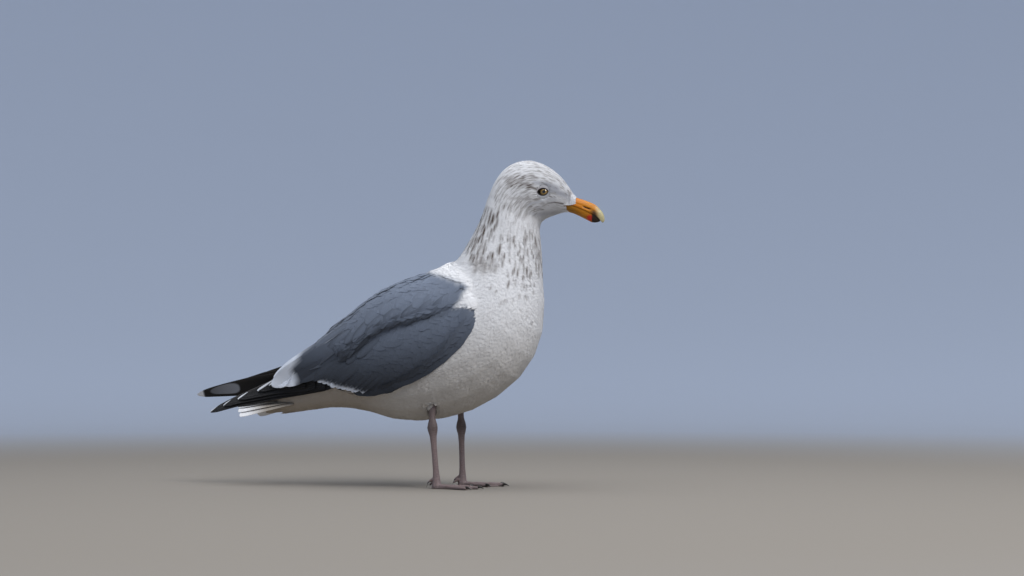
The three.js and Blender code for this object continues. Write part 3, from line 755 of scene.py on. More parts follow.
def soft_width(t):
    """A body feather's width along it: narrow at the root, full at the middle, closing to the tip."""
    return np.interp(t, [0, 0.35, 0.7, 1.05], [0.4, 0.9, 1.0, 0.62])


def soft_shade(t):
    """A body feather is a little darker in the shade of the one before it."""
    return np.interp(t, [0, 0.5, 1], [0.93, 0.99, 1.0])


# feathers grow along the body's line: how far along, their length there, and their half width as its share
GROWTH = np.array([
    [0, 4.0, 0.22], [50, 4.6, 0.22], [90, 6.4, 0.21], [120, 8.0, 0.215], [150, 9.4, 0.225], [235, 12.0, 0.26],
    [330, 13.6, 0.265], [440, 15.5, 0.26], [600, 17.5, 0.25],
])
# the gap between roots, as a share of a feather's length
FEATHER_GAP = 0.16
# no feather reaches back past here, and above this height they may lie over the grey
RUMP_END = -157 * MM
MANTLE_HEIGHT = 231 * MM
# the skin is bare this near an eye, and below and ahead of the gape [x, z], and no feather lies over the oval
# of the lids
EYE_BARE = 3.6
GAPE = (231, 356.8)
EYE_OVAL = (7.6, 5.2)
# the coat is fuller on the throat: its middle [x, z], its reach along each, and how much deeper it is
THROAT = (200, 300)
THROAT_REACH = (14, 38)
THROAT_DEPTH = 1.3 * MM


def along_body(places):
    """How far along the body's line places are, in millimetres."""
    return (unwrapped(places)[:, 0] - 0.01) / 0.98 * line_length[-1] / MM


def eye_gap(places):
    """How far places are from the eyes as seen from the side, in millimetres."""
    return np.linalg.norm(places[:, [0, 2]] - EYE[[0, 2]], axis=1) / MM

def grown(places, column):
    """A column of the growth table at the places. Round the eyes the feathers are shorter."""
    near = np.interp(eye_gap(places), [5, 13], [0.42, 1]) if column == 1 else 1
    return np.interp(along_body(places), GROWTH[:, 0], GROWTH[:, column]) * near


x_face, _, z_face = face_middle.T / MM
run_face = along_body(face_middle)
soft_face = face_region < WING
past_gape = x_face - GAPE[0]
under_gape = GAPE[1] - z_face
bare = (past_gape > 0) & (under_gape > 0) & (past_gape > under_gape * 0.9)
bare |= eye_gap(face_middle) < EYE_BARE
# each piece of the coat: how far along the body it starts and ends, and the form of its vanes
COAT = [
    ("plumage_head", 0, 120, SMALL),
    ("plumage_neck", 120, 240, BROAD),
    ("plumage_breast", 240, 325, BROAD),
    ("plumage_belly", 325, 440, BROAD),
    ("plumage_rump", 440, 900, BROAD),
]


def over_eye(midlines):
    """Which feathers would lie over an eye."""
    off = (midlines[0][1:] - EYE)[:, :, [0, 2]] / MM / EYE_OVAL
    return ((off**2).sum(2) < 1).any(0)


def body_paint(kinds, tones):
    """The painter of body feathers that root in the given regions."""
    def paint_of(places, t, w):
        flat = markings(places.reshape(-1, 3), np.repeat(kinds, t.shape[1])).reshape(*t.shape, 3)
        return flat * (tones[:, None] * soft_shade(t))[:, :, None]
    return paint_of


for name, start, end, form in COAT:
    wanted = soft_face & ~bare & (run_face >= start) & (run_face < end)
    faces, roots = scattered(lambda places: FEATHER_GAP * MM * grown(places, 1), wanted)
    lengths = grown(roots, 1) * MM * chance.uniform(0.85, 1.15, len(roots))
    midlines = laid(faces, roots, lengths, chance.normal(0, 0.06, len(roots)))
    # none lies over an eye or climbs on to the wing's front and lower edge
    on_grey = np.stack([~soft_face[nearest_faces(spots)] for spots in midlines[0][1:]]).any(0)
    by_mantle = roots[:, 2] > MANTLE_HEIGHT
    past_rump = midlines[0][-1, :, 0] < RUMP_END
    clear = ~over_eye(midlines) & (~on_grey | by_mantle) & ~past_rump
    midlines = [part[:, clear] for part in midlines]
    faces, roots, lengths = faces[clear], roots[clear], lengths[clear]
    halves = lengths * grown(roots, 2) * chance.uniform(0.9, 1.1, len(roots))
    throat = np.exp(-(((roots[:, [0, 2]] / MM - THROAT) / THROAT_REACH) ** 2).sum(1))
    # the coat thins out towards the lids
    thin = np.interp(eye_gap(roots), [6, 13], [0.3, 1])
    top = face_depth[faces] * chance.uniform(1.06, 1.12, len(roots)) * thin
    top += throat * THROAT_DEPTH
    lift = np.stack([np.full(len(roots), -0.2 * MM), top], -1)
    tones = chance.uniform(0.98, 1.015, len(roots))
    piece = vanes(name, midlines, roots, halves, form, lift, 0.07, body_paint(face_region[faces], tones),
                  soft_plumage, soft_width, 0.06)

# short feathers hang round the top of each shin, down from the belly: how many, how far round the shin they
# root, their length and half width, how close in and how far back their tips come, and how dark they are
SHIN_FEATHERS = 90
SHIN_RING = (3.8, 7.2)
SHIN_LENGTH = 9.5
SHIN_HALF = 2.2
SHIN_CLOSE = 4.8
SHIN_BACK = 2.5
SHIN_TONE = 0.85
for side_name, side in SIDES:
    shin = points_of(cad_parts["tibia_" + side_name].data)
    middle = shin[shin[:, 2] > shin[:, 2].max() - 3 * MM].mean(0)
    turns = chance.uniform(0, 2 * pi, SHIN_FEATHERS)
    ring = chance.uniform(*SHIN_RING, SHIN_FEATHERS)
    length = SHIN_LENGTH * chance.uniform(0.75, 1.15, SHIN_FEATHERS)
    out = np.stack([np.cos(turns), np.sin(turns), np.zeros(SHIN_FEATHERS)], -1)
    roots = middle + out * ring[:, None] * MM
    hits = [skin_tree.ray_cast((x, y, 0.02), (0, 0, 1))[0] for x, y, _ in roots.tolist()]
    roots[:, 2] = [hit[2] if hit else middle[2] for hit in hits]
    spots = np.zeros((STATIONS, SHIN_FEATHERS, 3))
    for k in range(STATIONS):
        share = k / (STATIONS - 1)
        reach = ring + (SHIN_CLOSE + 0.25 * (ring - 4.6) - ring) * share**0.7
        spots[k] = middle + out * reach[:, None] * MM
        spots[k, :, 0] -= SHIN_BACK * share**1.5 * MM
        spots[k, :, 2] = roots[:, 2] - length * share * MM
    ups = np.repeat(unit(out + np.array([0, 0, -0.2]))[None], STATIONS, 0)
    runs = unit(np.gradient(spots, axis=0))
    sides = unit(np.cross(ups, runs))
    lift = np.tile([-0.3 * MM, 0.3 * MM], (SHIN_FEATHERS, 1))
    halves = np.full(SHIN_FEATHERS, SHIN_HALF * MM)
    painter = body_paint(np.full(SHIN_FEATHERS, TRUNK), np.full(SHIN_FEATHERS, SHIN_TONE))
    piece = vanes("plumage_shin_" + side_name, (spots, ups, sides), roots, halves, BROAD, lift, 0.2,
                  painter, soft_plumage, soft_width, 0.06)

# ---------------------------------------------------------------- coverts
# Grey feathers that overlap like roof tiles over the folded wing and the mantle. Their barbs are hooked
# together, so they are smooth and close, and only a thin paler edge and its shadow part one from the next.
grey_plumage = plumage("smooth_grey_plumage", 0.6, 0.1, 150.0)
COVERT = vane_form((0, 0.35, 0.6, 0.78, 0.9, 0.98), 8, False, 0.3)


def firm_width(t):
    """A covert's width along it: broad and even, and round at the end."""
    return np.interp(t, [0, 0.25, 0.6, 0.8, 0.9, 1.0], [0.5, 0.9, 1.0, 0.9, 0.7, 0.45])


def covert_paint(kinds, tones):
    """The painter of coverts: grey, with painted shade low on the wing and towards the root, where the
    feather before it lies, and a paler edge at the tip.
    """
    def paint_of(places, t, w):
        flat = markings(places.reshape(-1, 3), np.repeat(kinds, t.shape[1])).reshape(*t.shape, 3)
        edge = np.clip((t + 0.3 * w**2 - 0.88) / 0.1, 0, 1) * 0.09
        # painted shade: darker towards the root, under the feather before it
        shade = np.interp(t, [0, 0.5, 0.85, 1], [0.8, 0.93, 1.0, 1.0]) + edge
        return flat * (tones[:, None] * shade)[:, :, None]
    return paint_of


# none root under the wing's lower edge, nor behind where the long feathers cover it
outward_face = np.sign(face_middle[:, 1]) * face_normal[:, 1]
open_wing = (face_normal[:, 2] > -0.7) & (outward_face > 0.1)
# each piece: where its feathers root, the gap between roots, their length, half width and outward turn
COVERTS = [
    ("coverts_wing", (face_region == WING) & open_wing & (x_face > -72), 5.0, 27.0, 7.6, 0.0),
    ("coverts_tertial", (face_region == TERTIALS) & (x_face > -66), 5.5, 27.0, 6.6, 0.0),
    ("coverts_mantle", face_region == SCAPULARS, 5.2, 28.0, 8.2, -0.06),
]
LOW_LINE = np.concatenate([HEM, WING_EDGE[WING_EDGE[:, 0] > 0]])
for name, wanted, gap, length, half, turn in COVERTS:
    faces, roots = scattered(lambda places: np.full(len(places), gap * MM), wanted)
    lengths = length * MM * chance.uniform(0.92, 1.08, len(roots))
    outward = np.where(roots[:, 1] < 0, -1, 1)
    midlines = laid(faces, roots, lengths, outward * turn + chance.normal(0, 0.025, len(roots)))
    # none hangs over the hem or the wing's lower edge
    tip = midlines[0][-1] / MM
    inside = tip[:, 2] > np.interp(tip[:, 0], LOW_LINE[:, 0], LOW_LINE[:, 1]) + 2
    midlines = [part[:, inside] for part in midlines]
    faces, roots, lengths = faces[inside], roots[inside], lengths[inside]
    halves = half * MM * chance.uniform(0.9, 1.1, len(roots))
    top = face_depth[faces] * chance.uniform(0.96, 1.02, len(roots))
    lift = np.stack([np.full(len(roots), -0.2 * MM), top], -1)
    tones = chance.uniform(0.95, 1.04, len(roots))
    piece = vanes(name, midlines, roots, halves, COVERT, lift, 0.04, covert_paint(face_region[faces], tones),
                  grey_plumage, firm_width, 0.0)

# ---------------------------------------------------------------- scapulars, tertials and secondaries
# The long feathers over the wing's root: soft grey scapulars, the great tertials with broad white ends that
# cover the closed wing behind, and the white tips of the secondaries, a scalloped hem below them.
LONG = vane_form((0, 0.18, 0.36, 0.54, 0.68, 0.78, 0.85, 0.9, 0.94, 0.97, 0.985, 0.995), 8, False, 0.0)


def long_width(t):
    """A long feather's width along it, even and then round at the tip."""
    end = np.clip((t - 0.66) / 0.34, 0, 1)
    return np.interp(t, [0, 0.2, 0.5], [0.5, 0.85, 1.0]) * np.sqrt(1 - end**2.4)


flight_trees = {}
for side_name, side in SIDES:
    flight = ["primary_" + side_name + "_" + str(k) for k in range(1, 6)]
    flight_trees[side] = tree_of(joined_solids(flight))
# how far a long feather lies out from the flight feathers under it, and how upright it stays at the low edge
OVER_FLIGHT = 0.6 * MM
UPRIGHT = 0.65


def hung(rows, side, stations=9):
    """Midlines and half widths of one wing's long feathers, laid on the skin or the flight feathers."""
    table = np.array(rows, float) * MM
    count = len(table)
    spots = np.zeros((stations, count, 3))
    ups = np.zeros((stations, count, 3))
    for k in range(stations):
        share = k / (stations - 1)
        flat = table[:, :2] * (1 - share) + table[:, 2:4] * share
        for i, (x, z) in enumerate(flat.tolist()):
            start = (x, side * 0.2, z)
            reach = 0
            up = ups[k - 1, i] if k else (0, side, 0.5)
            spot, _, face, _ = skin_tree.ray_cast(start, (0, -side, 0))
            if spot is not None and spot[1] * side > 0:
                reach = spot[1] * side
                up = face_normal[face]
            spot = flight_trees[side].ray_cast(start, (0, -side, 0))[0]
            if spot is not None and spot[1] * side + OVER_FLIGHT > reach:
                reach = spot[1] * side + OVER_FLIGHT
                up = (0, side, 0.25)
            if reach == 0:
                reach = 2 * abs(spots[k - 1, i, 1]) - abs(spots[k - 2, i, 1]) if k > 1 else 0.003
            spots[k, i] = x, side * reach, z
            ups[k, i] = up
    ups[:, :, 1] += side * UPRIGHT * np.clip(0.3 - ups[:, :, 2], 0, 1)
    ups[:, :, 2] = np.maximum(ups[:, :, 2], -0.15)
    ups = unit(ups)
    for _ in range(4):
        spots[1:-1] = (spots[:-2] + 2 * spots[1:-1] + spots[2:]) / 4
        ups[1:-1] = unit(ups[:-2] + 2 * ups[1:-1] + ups[2:])
    # a stiff feather doesn't tuck in at its tip with the skin
    swing = np.abs(spots[-1, :, 1]) - 2 * np.abs(spots[-2, :, 1]) + np.abs(spots[-3, :, 1])
    spots[-1, :, 1] -= side * np.minimum(swing, 0)
    runs = unit(np.gradient(spots, axis=0))
    return (spots, ups, unit(np.cross(ups, runs))), table[:, 4]


def tipped_paint(tones, white_from, edge_white, gaps):
    """The painter of long grey feathers: white towards the tip and pale at white edges, with painted shade
    low on the wing, towards the root and in the gaps at the sides.
    """
    def paint_of(places, t, w):
        low = grey_in_painted_shade(places.reshape(-1, 3)).reshape(t.shape)[:, :, None]
        flat = places.reshape(-1, 3)
        tip = np.clip((t - white_from[:, None] + 0.10 * w**2) / 0.07, 0, 1)
        tip = np.maximum(tip, white_end(flat).reshape(t.shape))
        edge = np.clip((np.abs(w) - 0.8) / 0.15, 0, 1) * np.clip((t - 0.3) / 0.3, 0, 1) * edge_white[:, None]
        # painted shade: darker low on the wing, towards the root, and at the sides where the gaps between
        # feathers lie
        grey = GREY * low * (tones[:, None] * np.interp(t, [0, 0.4, 1], [0.8, 0.95, 1.0]))[:, :, None]
        grey *= 1 - (np.clip((np.abs(w) - 0.35) / 0.6, 0, 1) * gaps[:, None])[:, :, None]
        return grey + np.maximum(tip, edge)[:, :, None] * (END_WHITE - grey)
    return paint_of


# each feather: its root and its tip [x, z], half its width, how far its tip stands off, how much of it is
# grey before the white tip, or 2 for no white, how white its edges are, and how dark the painted shade in the
# gaps beside it is
SCAPULARS_HUNG = [
    (62, 262, 26, 226, 12, 2.6, 2, 0, 0.1), (82, 262, 50, 226, 12, 2.7, 2, 0, 0.1),
    (94, 256, 66, 226, 11, 2.7, 2, 0, 0.1), (40, 256, 6, 218, 12, 2.7, 2, 0, 0.1),
    (20, 246, -14, 206, 12, 2.7, 2, 0, 0.1), (0, 238, -34, 196, 11, 2.7, 2, 0, 0.1),
    (-8, 222, -42, 182, 7, 3.2, 2, 0, 0.35), (4, 224, -30, 184, 8, 3.2, 2, 0, 0.4),
    (24, 228, -12, 194, 8, 3.2, 2, 0, 0.3), (42, 232, 8, 204, 9, 3.2, 2, 0, 0.3),
    (66, 236, 34, 208, 9, 3.3, 2, 0, 0.3), (86, 238, 58, 216, 9, 3.2, 2, 0, 0.2),
    (104, 244, 76, 220, 9, 3.0, 2, 0, 0.2),
]
TERTIALS_HUNG = [
    (-8, 196, -54, 161, 7, 3.0, 2, 0, 0.35), (-4, 190, -41, 158, 6.5, 3.2, 2, 0, 0.4),
    (10, 196, -26, 165, 7, 3.2, 2, 0, 0.35), (-30, 168, -119, 135, 8, 3.4, 2, 0, 0.1),
    (-36, 176, -138, 129.5, 8.5, 3.5, 2, 0, 0.1), (-40, 181, -150, 127.5, 9, 3.6, 2, 0, 0.1),
    (-28, 206, -73, 171.6, 7, 3.8, 2, 0, 0.4), (-44, 188, -160, 129.5, 13, 4.3, 2, 0.1, 0.1),
    (-52, 200, -163, 139, 9, 4.7, 2, 0.3, 0), (-36, 210, -92, 178, 7, 4.4, 2, 0.3, 0.3),
]
# the slope that the secondaries come down on to the hem
HEM_SLOPE = radians(31)
HEM_FEATHER = (58, 6.4)
HEM_STEP = 7.4
# how much of each is grey before its white tip; behind here none has one, as the tertials lie beside it
HEM_GREY = 0.865
HEM_WHITE_FROM = -93
# the small feathers that follow the wing's lower edge
EDGE_FEATHER = 6.5
EDGE_STEP = 5.5
EDGE_SPAN = 5


def along_line(line, step):
    """Places at even steps along a line of [x, z]."""
    lengths = np.concatenate([[0], np.cumsum(np.linalg.norm(np.diff(line, axis=0), axis=1))])
    at = np.arange(0, lengths[-1], step)
    return np.stack([np.interp(at, lengths, line[:, k]) for k in (0, 1)], -1)


hem_rows = []
for x, z in along_line(HEM[1:-1], HEM_STEP)[1:]:
    root = (x + HEM_FEATHER[0] * cos(HEM_SLOPE), z + HEM_FEATHER[0] * sin(HEM_SLOPE))
    white_from = HEM_GREY if x > HEM_WHITE_FROM else 2
    stands_off = 3.0 if x > -60 else 4.4
    hem_rows.append((*root, x, z, HEM_FEATHER[1], stands_off, white_from, 0.0, 0.15))
edge_rows = []
edge_line = along_line(WING_EDGE[WING_EDGE[:, 0] > -40] + np.array([-1.5, 4.2]), EDGE_STEP)
for k in range(EDGE_SPAN, len(edge_line)):
    (x0, z0), (x1, z1) = edge_line[k], edge_line[k - EDGE_SPAN]
    edge_rows.append((x0, z0, x1, z1, EDGE_FEATHER, 3.0, 2, 0, 0.0))
edge_rows.reverse()
LONG_GROUPS = [
    ("secondaries", hem_rows), ("wing_edge", edge_rows),
    ("tertials", TERTIALS_HUNG), ("scapulars", SCAPULARS_HUNG),
]
for side_name, side in SIDES:
    for group, rows in LONG_GROUPS:
        midlines, halves = hung([row[:5] for row in rows], side)
        table = np.array([row[5:] for row in rows], float)
        lift = np.stack([np.full(len(rows), 0.6 * MM), table[:, 0] * MM], -1)
        tones = chance.uniform(0.94, 1.04, len(rows))
        painter = tipped_paint(tones, table[:, 1], table[:, 2], table[:, 3])
        piece = vanes(group + "_" + side_name + "_vanes", midlines, midlines[0][0], halves, LONG, lift, 0.05,
                      painter, grey_plumage, long_width, 0.0)

# ---------------------------------------------------------------- primaries
# The black wing tips: the ends of the long flight feathers, one over the other. Each is a stiff flat vane
# on a strong shaft near its outer edge, satin black, and its round tip is edged with white.
black_plumage = plumage("black_flight_feather", 0.42, 0.05, 700.0)
TIP_WHITE = np.array([0.62, 0.64, 0.68])
PRIMARY_OUTER = 4.0 * MM
PRIMARY_INNER = 24.0 * MM
PRIMARY_THICK = 0.5 * MM


def rings_of(name, axis):
    """The frame's rings of a flat feather, from root to tip: both edges and the middle of each."""
    corners = np.unique(np.round(points_of(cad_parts[name].data), 6), axis=0)
    rings = {}
    for place in corners:
        rings.setdefault(round(place[0], 4), []).append(place)
    rows = []
    for x in sorted(rings, reverse=True):
        ring = np.array(sorted(rings[x], key=lambda place: place[axis]))
        rows.append((ring[:2].mean(0), ring[2:-2].mean(0), ring[-2:].mean(0)))
    return np.array(rows)


def flat_feather(name, stations, across, low, mid, high, thick, paint_of, material):
    """A thin closed vane between two edges over its shaft line, in the finish of a flight feather."""
    mid_share = np.clip(across, -1, 0)[None, :, None]
    high_share = np.clip(across, 0, 1)[None, :, None]
    surface = mid[:, None] + (mid - low)[:, None] * mid_share + (high - mid)[:, None] * high_share
    run = unit(np.gradient(mid, axis=0))
    up = unit(np.cross(run, high - low))
    near = np.exp(-((across / 0.06) ** 2))
    body = thick * (1 - 0.7 * np.abs(across) ** 3) + 0.35 * MM * near
    body = body[None] * np.clip((1 - stations) / 0.01, 0.05, 1)[:, None]
    bulge = 0.6 * MM * (1 - across**2)[None] * np.minimum(1, 6 * (1 - stations))[:, None]
    outer_side = surface + up[:, None] * (bulge + body / 2)[:, :, None]
    inner_side = surface + up[:, None] * (bulge - body / 2)[:, :, None]
    rows = np.concatenate([outer_side, inner_side[:, ::-1]], axis=1)
    mesh = grid_mesh(name, rows, True)
    t = np.repeat(stations[:, None], rows.shape[1], 1)
    w = np.tile(np.concatenate([across, across[::-1]]), (len(stations), 1))
    paint(mesh, paint_of(rows, t, w).reshape(-1, 3))
    corner = np.zeros(len(mesh.loops), np.int32)
    mesh.loops.foreach_get("vertex_index", corner)
    layer = mesh.uv_layers.new(name="Vane")
    own = np.stack([w * 0.5 + 0.5, t], -1).reshape(-1, 2)
    layer.data.foreach_set("uv", own[corner].astype(np.float32).ravel())
    thing = shown(name, mesh, material)
    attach(thing, "root")
    return thing


# how far up the edge the white of each tip runs, from the longest feather in, and how wide it is
TIP_EDGES = [(9, 2.6), (10, 3.0), (13, 4.2), (25, 4.8), (16, 3.2)]
# the pale window of the left's longest feather: its middle and half its reach, back from the tip and across.
# It is white on the bird, but painted in a dull grey as in shade, darker towards the tip.
WINDOW_BACK = (41, 22)
WINDOW_ACROSS = (0.42, 0.5)
WINDOW_SHADED_HUE = np.array([0.33, 0.35, 0.40])


def primary_paint(tip_x, windowed, reach, broad):
    """The painter of a primary: black with a painted highlight along its upper edge, its tip edged white, and
    a pale window on the left's longest, painted grey as in shade.
    """
    def paint_of(rows, t, w):
        back = (rows[:, :, 0] - tip_x) / MM
        span = np.linalg.norm(rows - rows[:, :1], axis=2).max(1)[:, None] / MM
        from_high = (1 - (np.clip(w, -0.2, 1) + 0.2) / 1.2) * span
        width = broad * np.interp(back / reach, [0, 0.1, 0.35, 0.7, 1.0, 1.01], [0.5, 1.0, 1.0, 0.6, 0.2, -1])
        white = np.clip((width - from_high) / 0.8 + 0.5, 0, 1)
        if windowed:
            white = np.clip((10.5 - back) / 1.5, 0, 1)
        # painted highlight: the upper edge is lightened as if lit
        painted_edge_light = np.clip((w - 0.72) / 0.2, 0, 1) * 0.016
        colour = BLACK + painted_edge_light[:, :, None] * np.array([1.0, 0.9, 0.8])
        if windowed:
            along = (back - WINDOW_BACK[0]) / WINDOW_BACK[1]
            high = (w - WINDOW_ACROSS[0]) / WINDOW_ACROSS[1]
            window = np.clip((1 - (np.abs(along) ** 2.6 + np.abs(high) ** 2.6)) / 0.25, 0, 1)
            # painted shade: the window's white is painted dull grey, darker towards the tip
            hue = WINDOW_SHADED_HUE * np.interp(back, [20, 45, 62], [0.45, 0.8, 1.0])[:, :, None]
            colour = colour + window[:, :, None] * (hue - colour)
        # the left's longest has its white tip painted lighter than the others', to make up for the shade it
        # lies in
        return colour + white[:, :, None] * (TIP_WHITE * (1.3 if windowed else 1) - colour)
    return paint_of


vane_steps = np.concatenate([np.linspace(0, 0.7, 18), 0.7 + 0.3 * np.linspace(0, 1, 46)[1:]])
vane_steps = np.minimum(vane_steps, 0.9995)
vane_across = np.concatenate([[-1, -0.75, -0.4, -0.15, -0.06, 0.0, 0.06, 0.15], np.linspace(0.25, 1, 12)])
for side_name, side in SIDES:
    for number in range(1, 6):
        node_name = "primary_" + side_name + "_" + str(number)
        rings = rings_of(node_name, 2)
        x_root, x_tip = rings[0, 1, 0], rings[-1, 1, 0] - 0.8 * MM
        xs = x_root + (x_tip - x_root) * vane_steps
        turned = -rings[:, 1, 0]
        shaft = np.stack([np.interp(-xs, turned, rings[:, 1, k]) for k in range(3)], -1)
        shaft[:, 0] = xs
        upward = unit(rings[:, 2] - rings[:, 1])
        upward = unit(np.stack([np.interp(-xs, turned, upward[:, k]) for k in range(3)], -1))
        gap = (xs - x_tip) / MM
        inner_width = PRIMARY_INNER * np.minimum(1, gap / 80) ** 0.62
        outer_width = PRIMARY_OUTER * np.minimum(1, gap / 12) ** 0.5
        low = shaft - upward * outer_width[:, None]
        high = shaft + upward * inner_width[:, None]
        painter = primary_paint(x_tip, side > 0 and number == 1, *TIP_EDGES[number - 1])
        vane = flat_feather("flight_" + side_name + "_" + str(number), vane_steps, vane_across, low, shaft,
                            high, PRIMARY_THICK, painter, black_plumage)
        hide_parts(node_name)

# ---------------------------------------------------------------- tail
# The closed tail: white feathers that lie over each other like a folded fan, their ends square and a little
# worn. Towards their roots they are painted in warm shade.
tail_plumage = plumage("white_tail_feather", 0.7, 0.1, 420.0)
TAIL_NODES = ["tail_middle"] + ["tail_" + side + "_" + str(k) for k in (1, 2, 3) for side, _ in SIDES]
# the painted warm shade at the roots of the tail feathers
TAIL_ROOT_PAINTED_SHADE = np.array([0.27, 0.24, 0.205])


def tail_paint(rows, t, w):
    """The painter of a tail feather: white, with painted warm shade towards its root."""
    shade = np.interp(t, [0.5, 0.85], [0, 1])[:, :, None]
    return TAIL_ROOT_PAINTED_SHADE + shade * (WHITE * 0.86 - TAIL_ROOT_PAINTED_SHADE)


tail_across = np.linspace(-1, 1, 13)
tail_steps = np.concatenate([np.linspace(0, 0.85, 12), np.linspace(0.865, 0.9995, 18)])
for node_name in TAIL_NODES:
    rings = rings_of(node_name, 1)
    x_root, x_tip = rings[0, 1, 0], rings[-1, 1, 0]
    xs = x_root + (x_tip - x_root) * tail_steps
    low, mid, high = (
        np.stack([np.interp(-xs, -rings[:, 1, 0], rings[:, row, k]) for k in range(3)], -1)
        for row in range(3)
    )
    half = (rings[:, 2, 1] - rings[:, 0, 1]).max() / 2
    rounded = np.sqrt(np.clip(1 - np.clip(1 - (xs - x_tip) / (7 * MM), 0, 1) ** 2.6, 0.0, 1))
    share = (half * rounded / np.maximum((high[:, 1] - low[:, 1]) / 2, 1e-5)).clip(0, 1)[:, None]
    low, high = mid + (low - mid) * share, mid + (high - mid) * share
    piece = flat_feather(node_name + "_vane", tail_steps, tail_across, low, mid, high, PRIMARY_THICK,
                         tail_paint, tail_plumage)
    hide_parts(node_name)

# ---------------------------------------------------------------- bill
# Two horn sheaths that close along the gape. The upper one hooks down over the lower and has a slit nostril
# on each side. The lower one runs back bare below the cheek and has an angle under its red spot.
BILL_ALONG = 90
BILL_ROUND = 56
# each sheath's ridge and cutting edge [x, z], from the base to the tip, and the half width between them
CULMEN = [
    (234, 369.5), (241.7, 367.6), (248, 365.4), (256, 362.6), (263, 359.8), (270, 356.2),
    (275.4, 351.0), (279.5, 345.6), (281.2, 340.4), (281.5, 336.8), (280.2, 334.2),
]
UPPER_EDGE = [
    (226, 357.6), (234, 357.2), (243, 355.4), (251, 352.2), (259, 348.6), (266, 345.2),
    (271.4, 342.2), (274.8, 339.0), (276.6, 336.6), (278.0, 335.0), (279.4, 334.1),
]
LOWER_EDGE = [
    (222, 358.6), (230, 358.0), (239, 356.6), (247, 353.6), (255, 350.2), (262, 347.0),
    (267.6, 344.2), (271.4, 341.8), (273.8, 339.4), (275.2, 337.2), (275.8, 335.8),
]
GONYS = [
    (231.5, 350.5), (236, 348.2), (241.7, 346.3), (248, 343.4), (255, 339.9), (260.5, 336.9),
    (264.5, 334.9), (268, 334.2), (271.5, 334.3), (274, 334.9), (275.6, 335.6),
]
UPPER_WIDTH = [8.6, 8.2, 7.6, 6.9, 6.2, 5.5, 4.7, 3.7, 2.7, 1.6, 0.7]
LOWER_WIDTH = [8.6, 8.2, 7.5, 6.7, 6.0, 5.3, 4.6, 3.9, 3.0, 1.9, 0.7]
# behind here the lower sheath lies on the cheeks, and how far it stands out from them
CHEEK_END = 244 * MM
ON_CHEEK = 0.5 * MM
HORN = np.array([0.54, 0.195, 0.004])
HORN_ORANGE = np.array([0.56, 0.155, 0.004])
HORN_TIP = np.array([0.50, 0.44, 0.24])
HORN_OLIVE = np.array([0.27, 0.125, 0.006])
HORN_RED = np.array([0.60, 0.032, 0.010])
HORN_BLACK = np.array([0.012, 0.010, 0.009])


def smooth_rows(rows, count):
    """Rows of numbers read at evenly many places by a smooth curve."""
    rows = np.array(rows, float).reshape(len(rows), -1)
    at = np.linspace(0, len(rows) - 1, count)
    low = np.clip(at.astype(int), 0, len(rows) - 2)
    t = (at - low)[:, None]
    before, after = rows[np.maximum(low - 1, 0)], rows[np.minimum(low + 2, len(rows) - 1)]
    a, b = rows[low], rows[low + 1]
    bend = 2 * before - 5 * a + 4 * b - after + t * (3 * (a - b) + after - before)
    return a + 0.5 * t * (b - before + t * bend)


def cheek_at(x, z):
    """How far the skin reaches to the side at a place on the head, or nothing."""
    spot = skin_tree.ray_cast((x, -0.1, z), (0, 1, 0))[0]
    return None if spot is None else abs(spot[1])


def sheath(name, ridge, edge, widths, roof, by_cheek):
    """One half of the bill, from cutting edge over ridge to cutting edge, closed across between them."""
    top, side_edge, wide = (smooth_rows(rows, BILL_ALONG) for rows in (ridge, edge, widths))
    rows = []
    for (tx, tz), (ex, ez), (half,) in zip(top, side_edge, wide):
        ring = []
        for k in range(BILL_ROUND):
            angle = pi * k / (BILL_ROUND - 1)
            high = sin(angle) ** roof
            y = -half * cos(angle) * (0.72 + 0.28 * abs(cos(angle)))
            ring.append([ex + (tx - ex) * high, y, ez + (tz - ez) * high])
        for k in range(1, 8):
            ring.append([ex, half * (1 - k / 4), ez + (0.6 if tz < ez else -0.6) * (1 - (1 - k / 4) ** 2)])
        rows.append(ring)
    rows = np.array(rows) * MM
    # the lower sheath spreads out to lie on the cheeks at its root
    for row in rows if by_cheek else []:
        for place in row[:BILL_ROUND]:
            out = abs(place[1])
            fade = np.clip((CHEEK_END - place[0]) / (8 * MM), 0, 1)
            cheek = cheek_at(place[0], place[2]) if fade > 0 and out > 3 * MM else None
            if cheek and cheek + ON_CHEEK > out:
                place[1] = np.sign(place[1]) * (out + fade * (cheek + ON_CHEEK - out))
    return grid_mesh(name, rows, True)

def blend(colour, other, share):
    """Colours moved towards another by a share."""
    return colour + share[:, None] * (other - colour)


horn, horn_tree, horn_shader = finish_of("bill_horn", 0.44, 0.3)
horn_shader.inputs["Subsurface Weight"].default_value = 0.06
horn_shader.inputs["Subsurface Radius"].default_value = (0.004, 0.002, 0.001)
horn_shader.inputs["Coat Weight"].default_value = 0.06
horn_shader.inputs["Coat Roughness"].default_value = 0.25
horn_place = node(horn_tree, "TexCoord")
horn_stretch = node(horn_tree, "Mapping")
horn_stretch.inputs["Rotation"].default_value = (0, radians(-22), 0)
horn_stretch.inputs["Scale"].default_value = (60, 500, 500)
horn_tree.links.new(horn_place.outputs["Object"], horn_stretch.inputs["Vector"])
horn_grain = node(horn_tree, "TexNoise", Scale=1.0, Detail=4.0)
horn_tree.links.new(horn_stretch.outputs["Vector"], horn_grain.inputs["Vector"])
horn_fibre = horn_grain.outputs["Fac"]
marked(horn_tree, horn_shader, ranged(horn_tree, horn_fibre, 0.8, 1.08, 0.25, 0.75))
bumped(horn_tree, horn_shader, horn_fibre, 0.25, 0.0003)

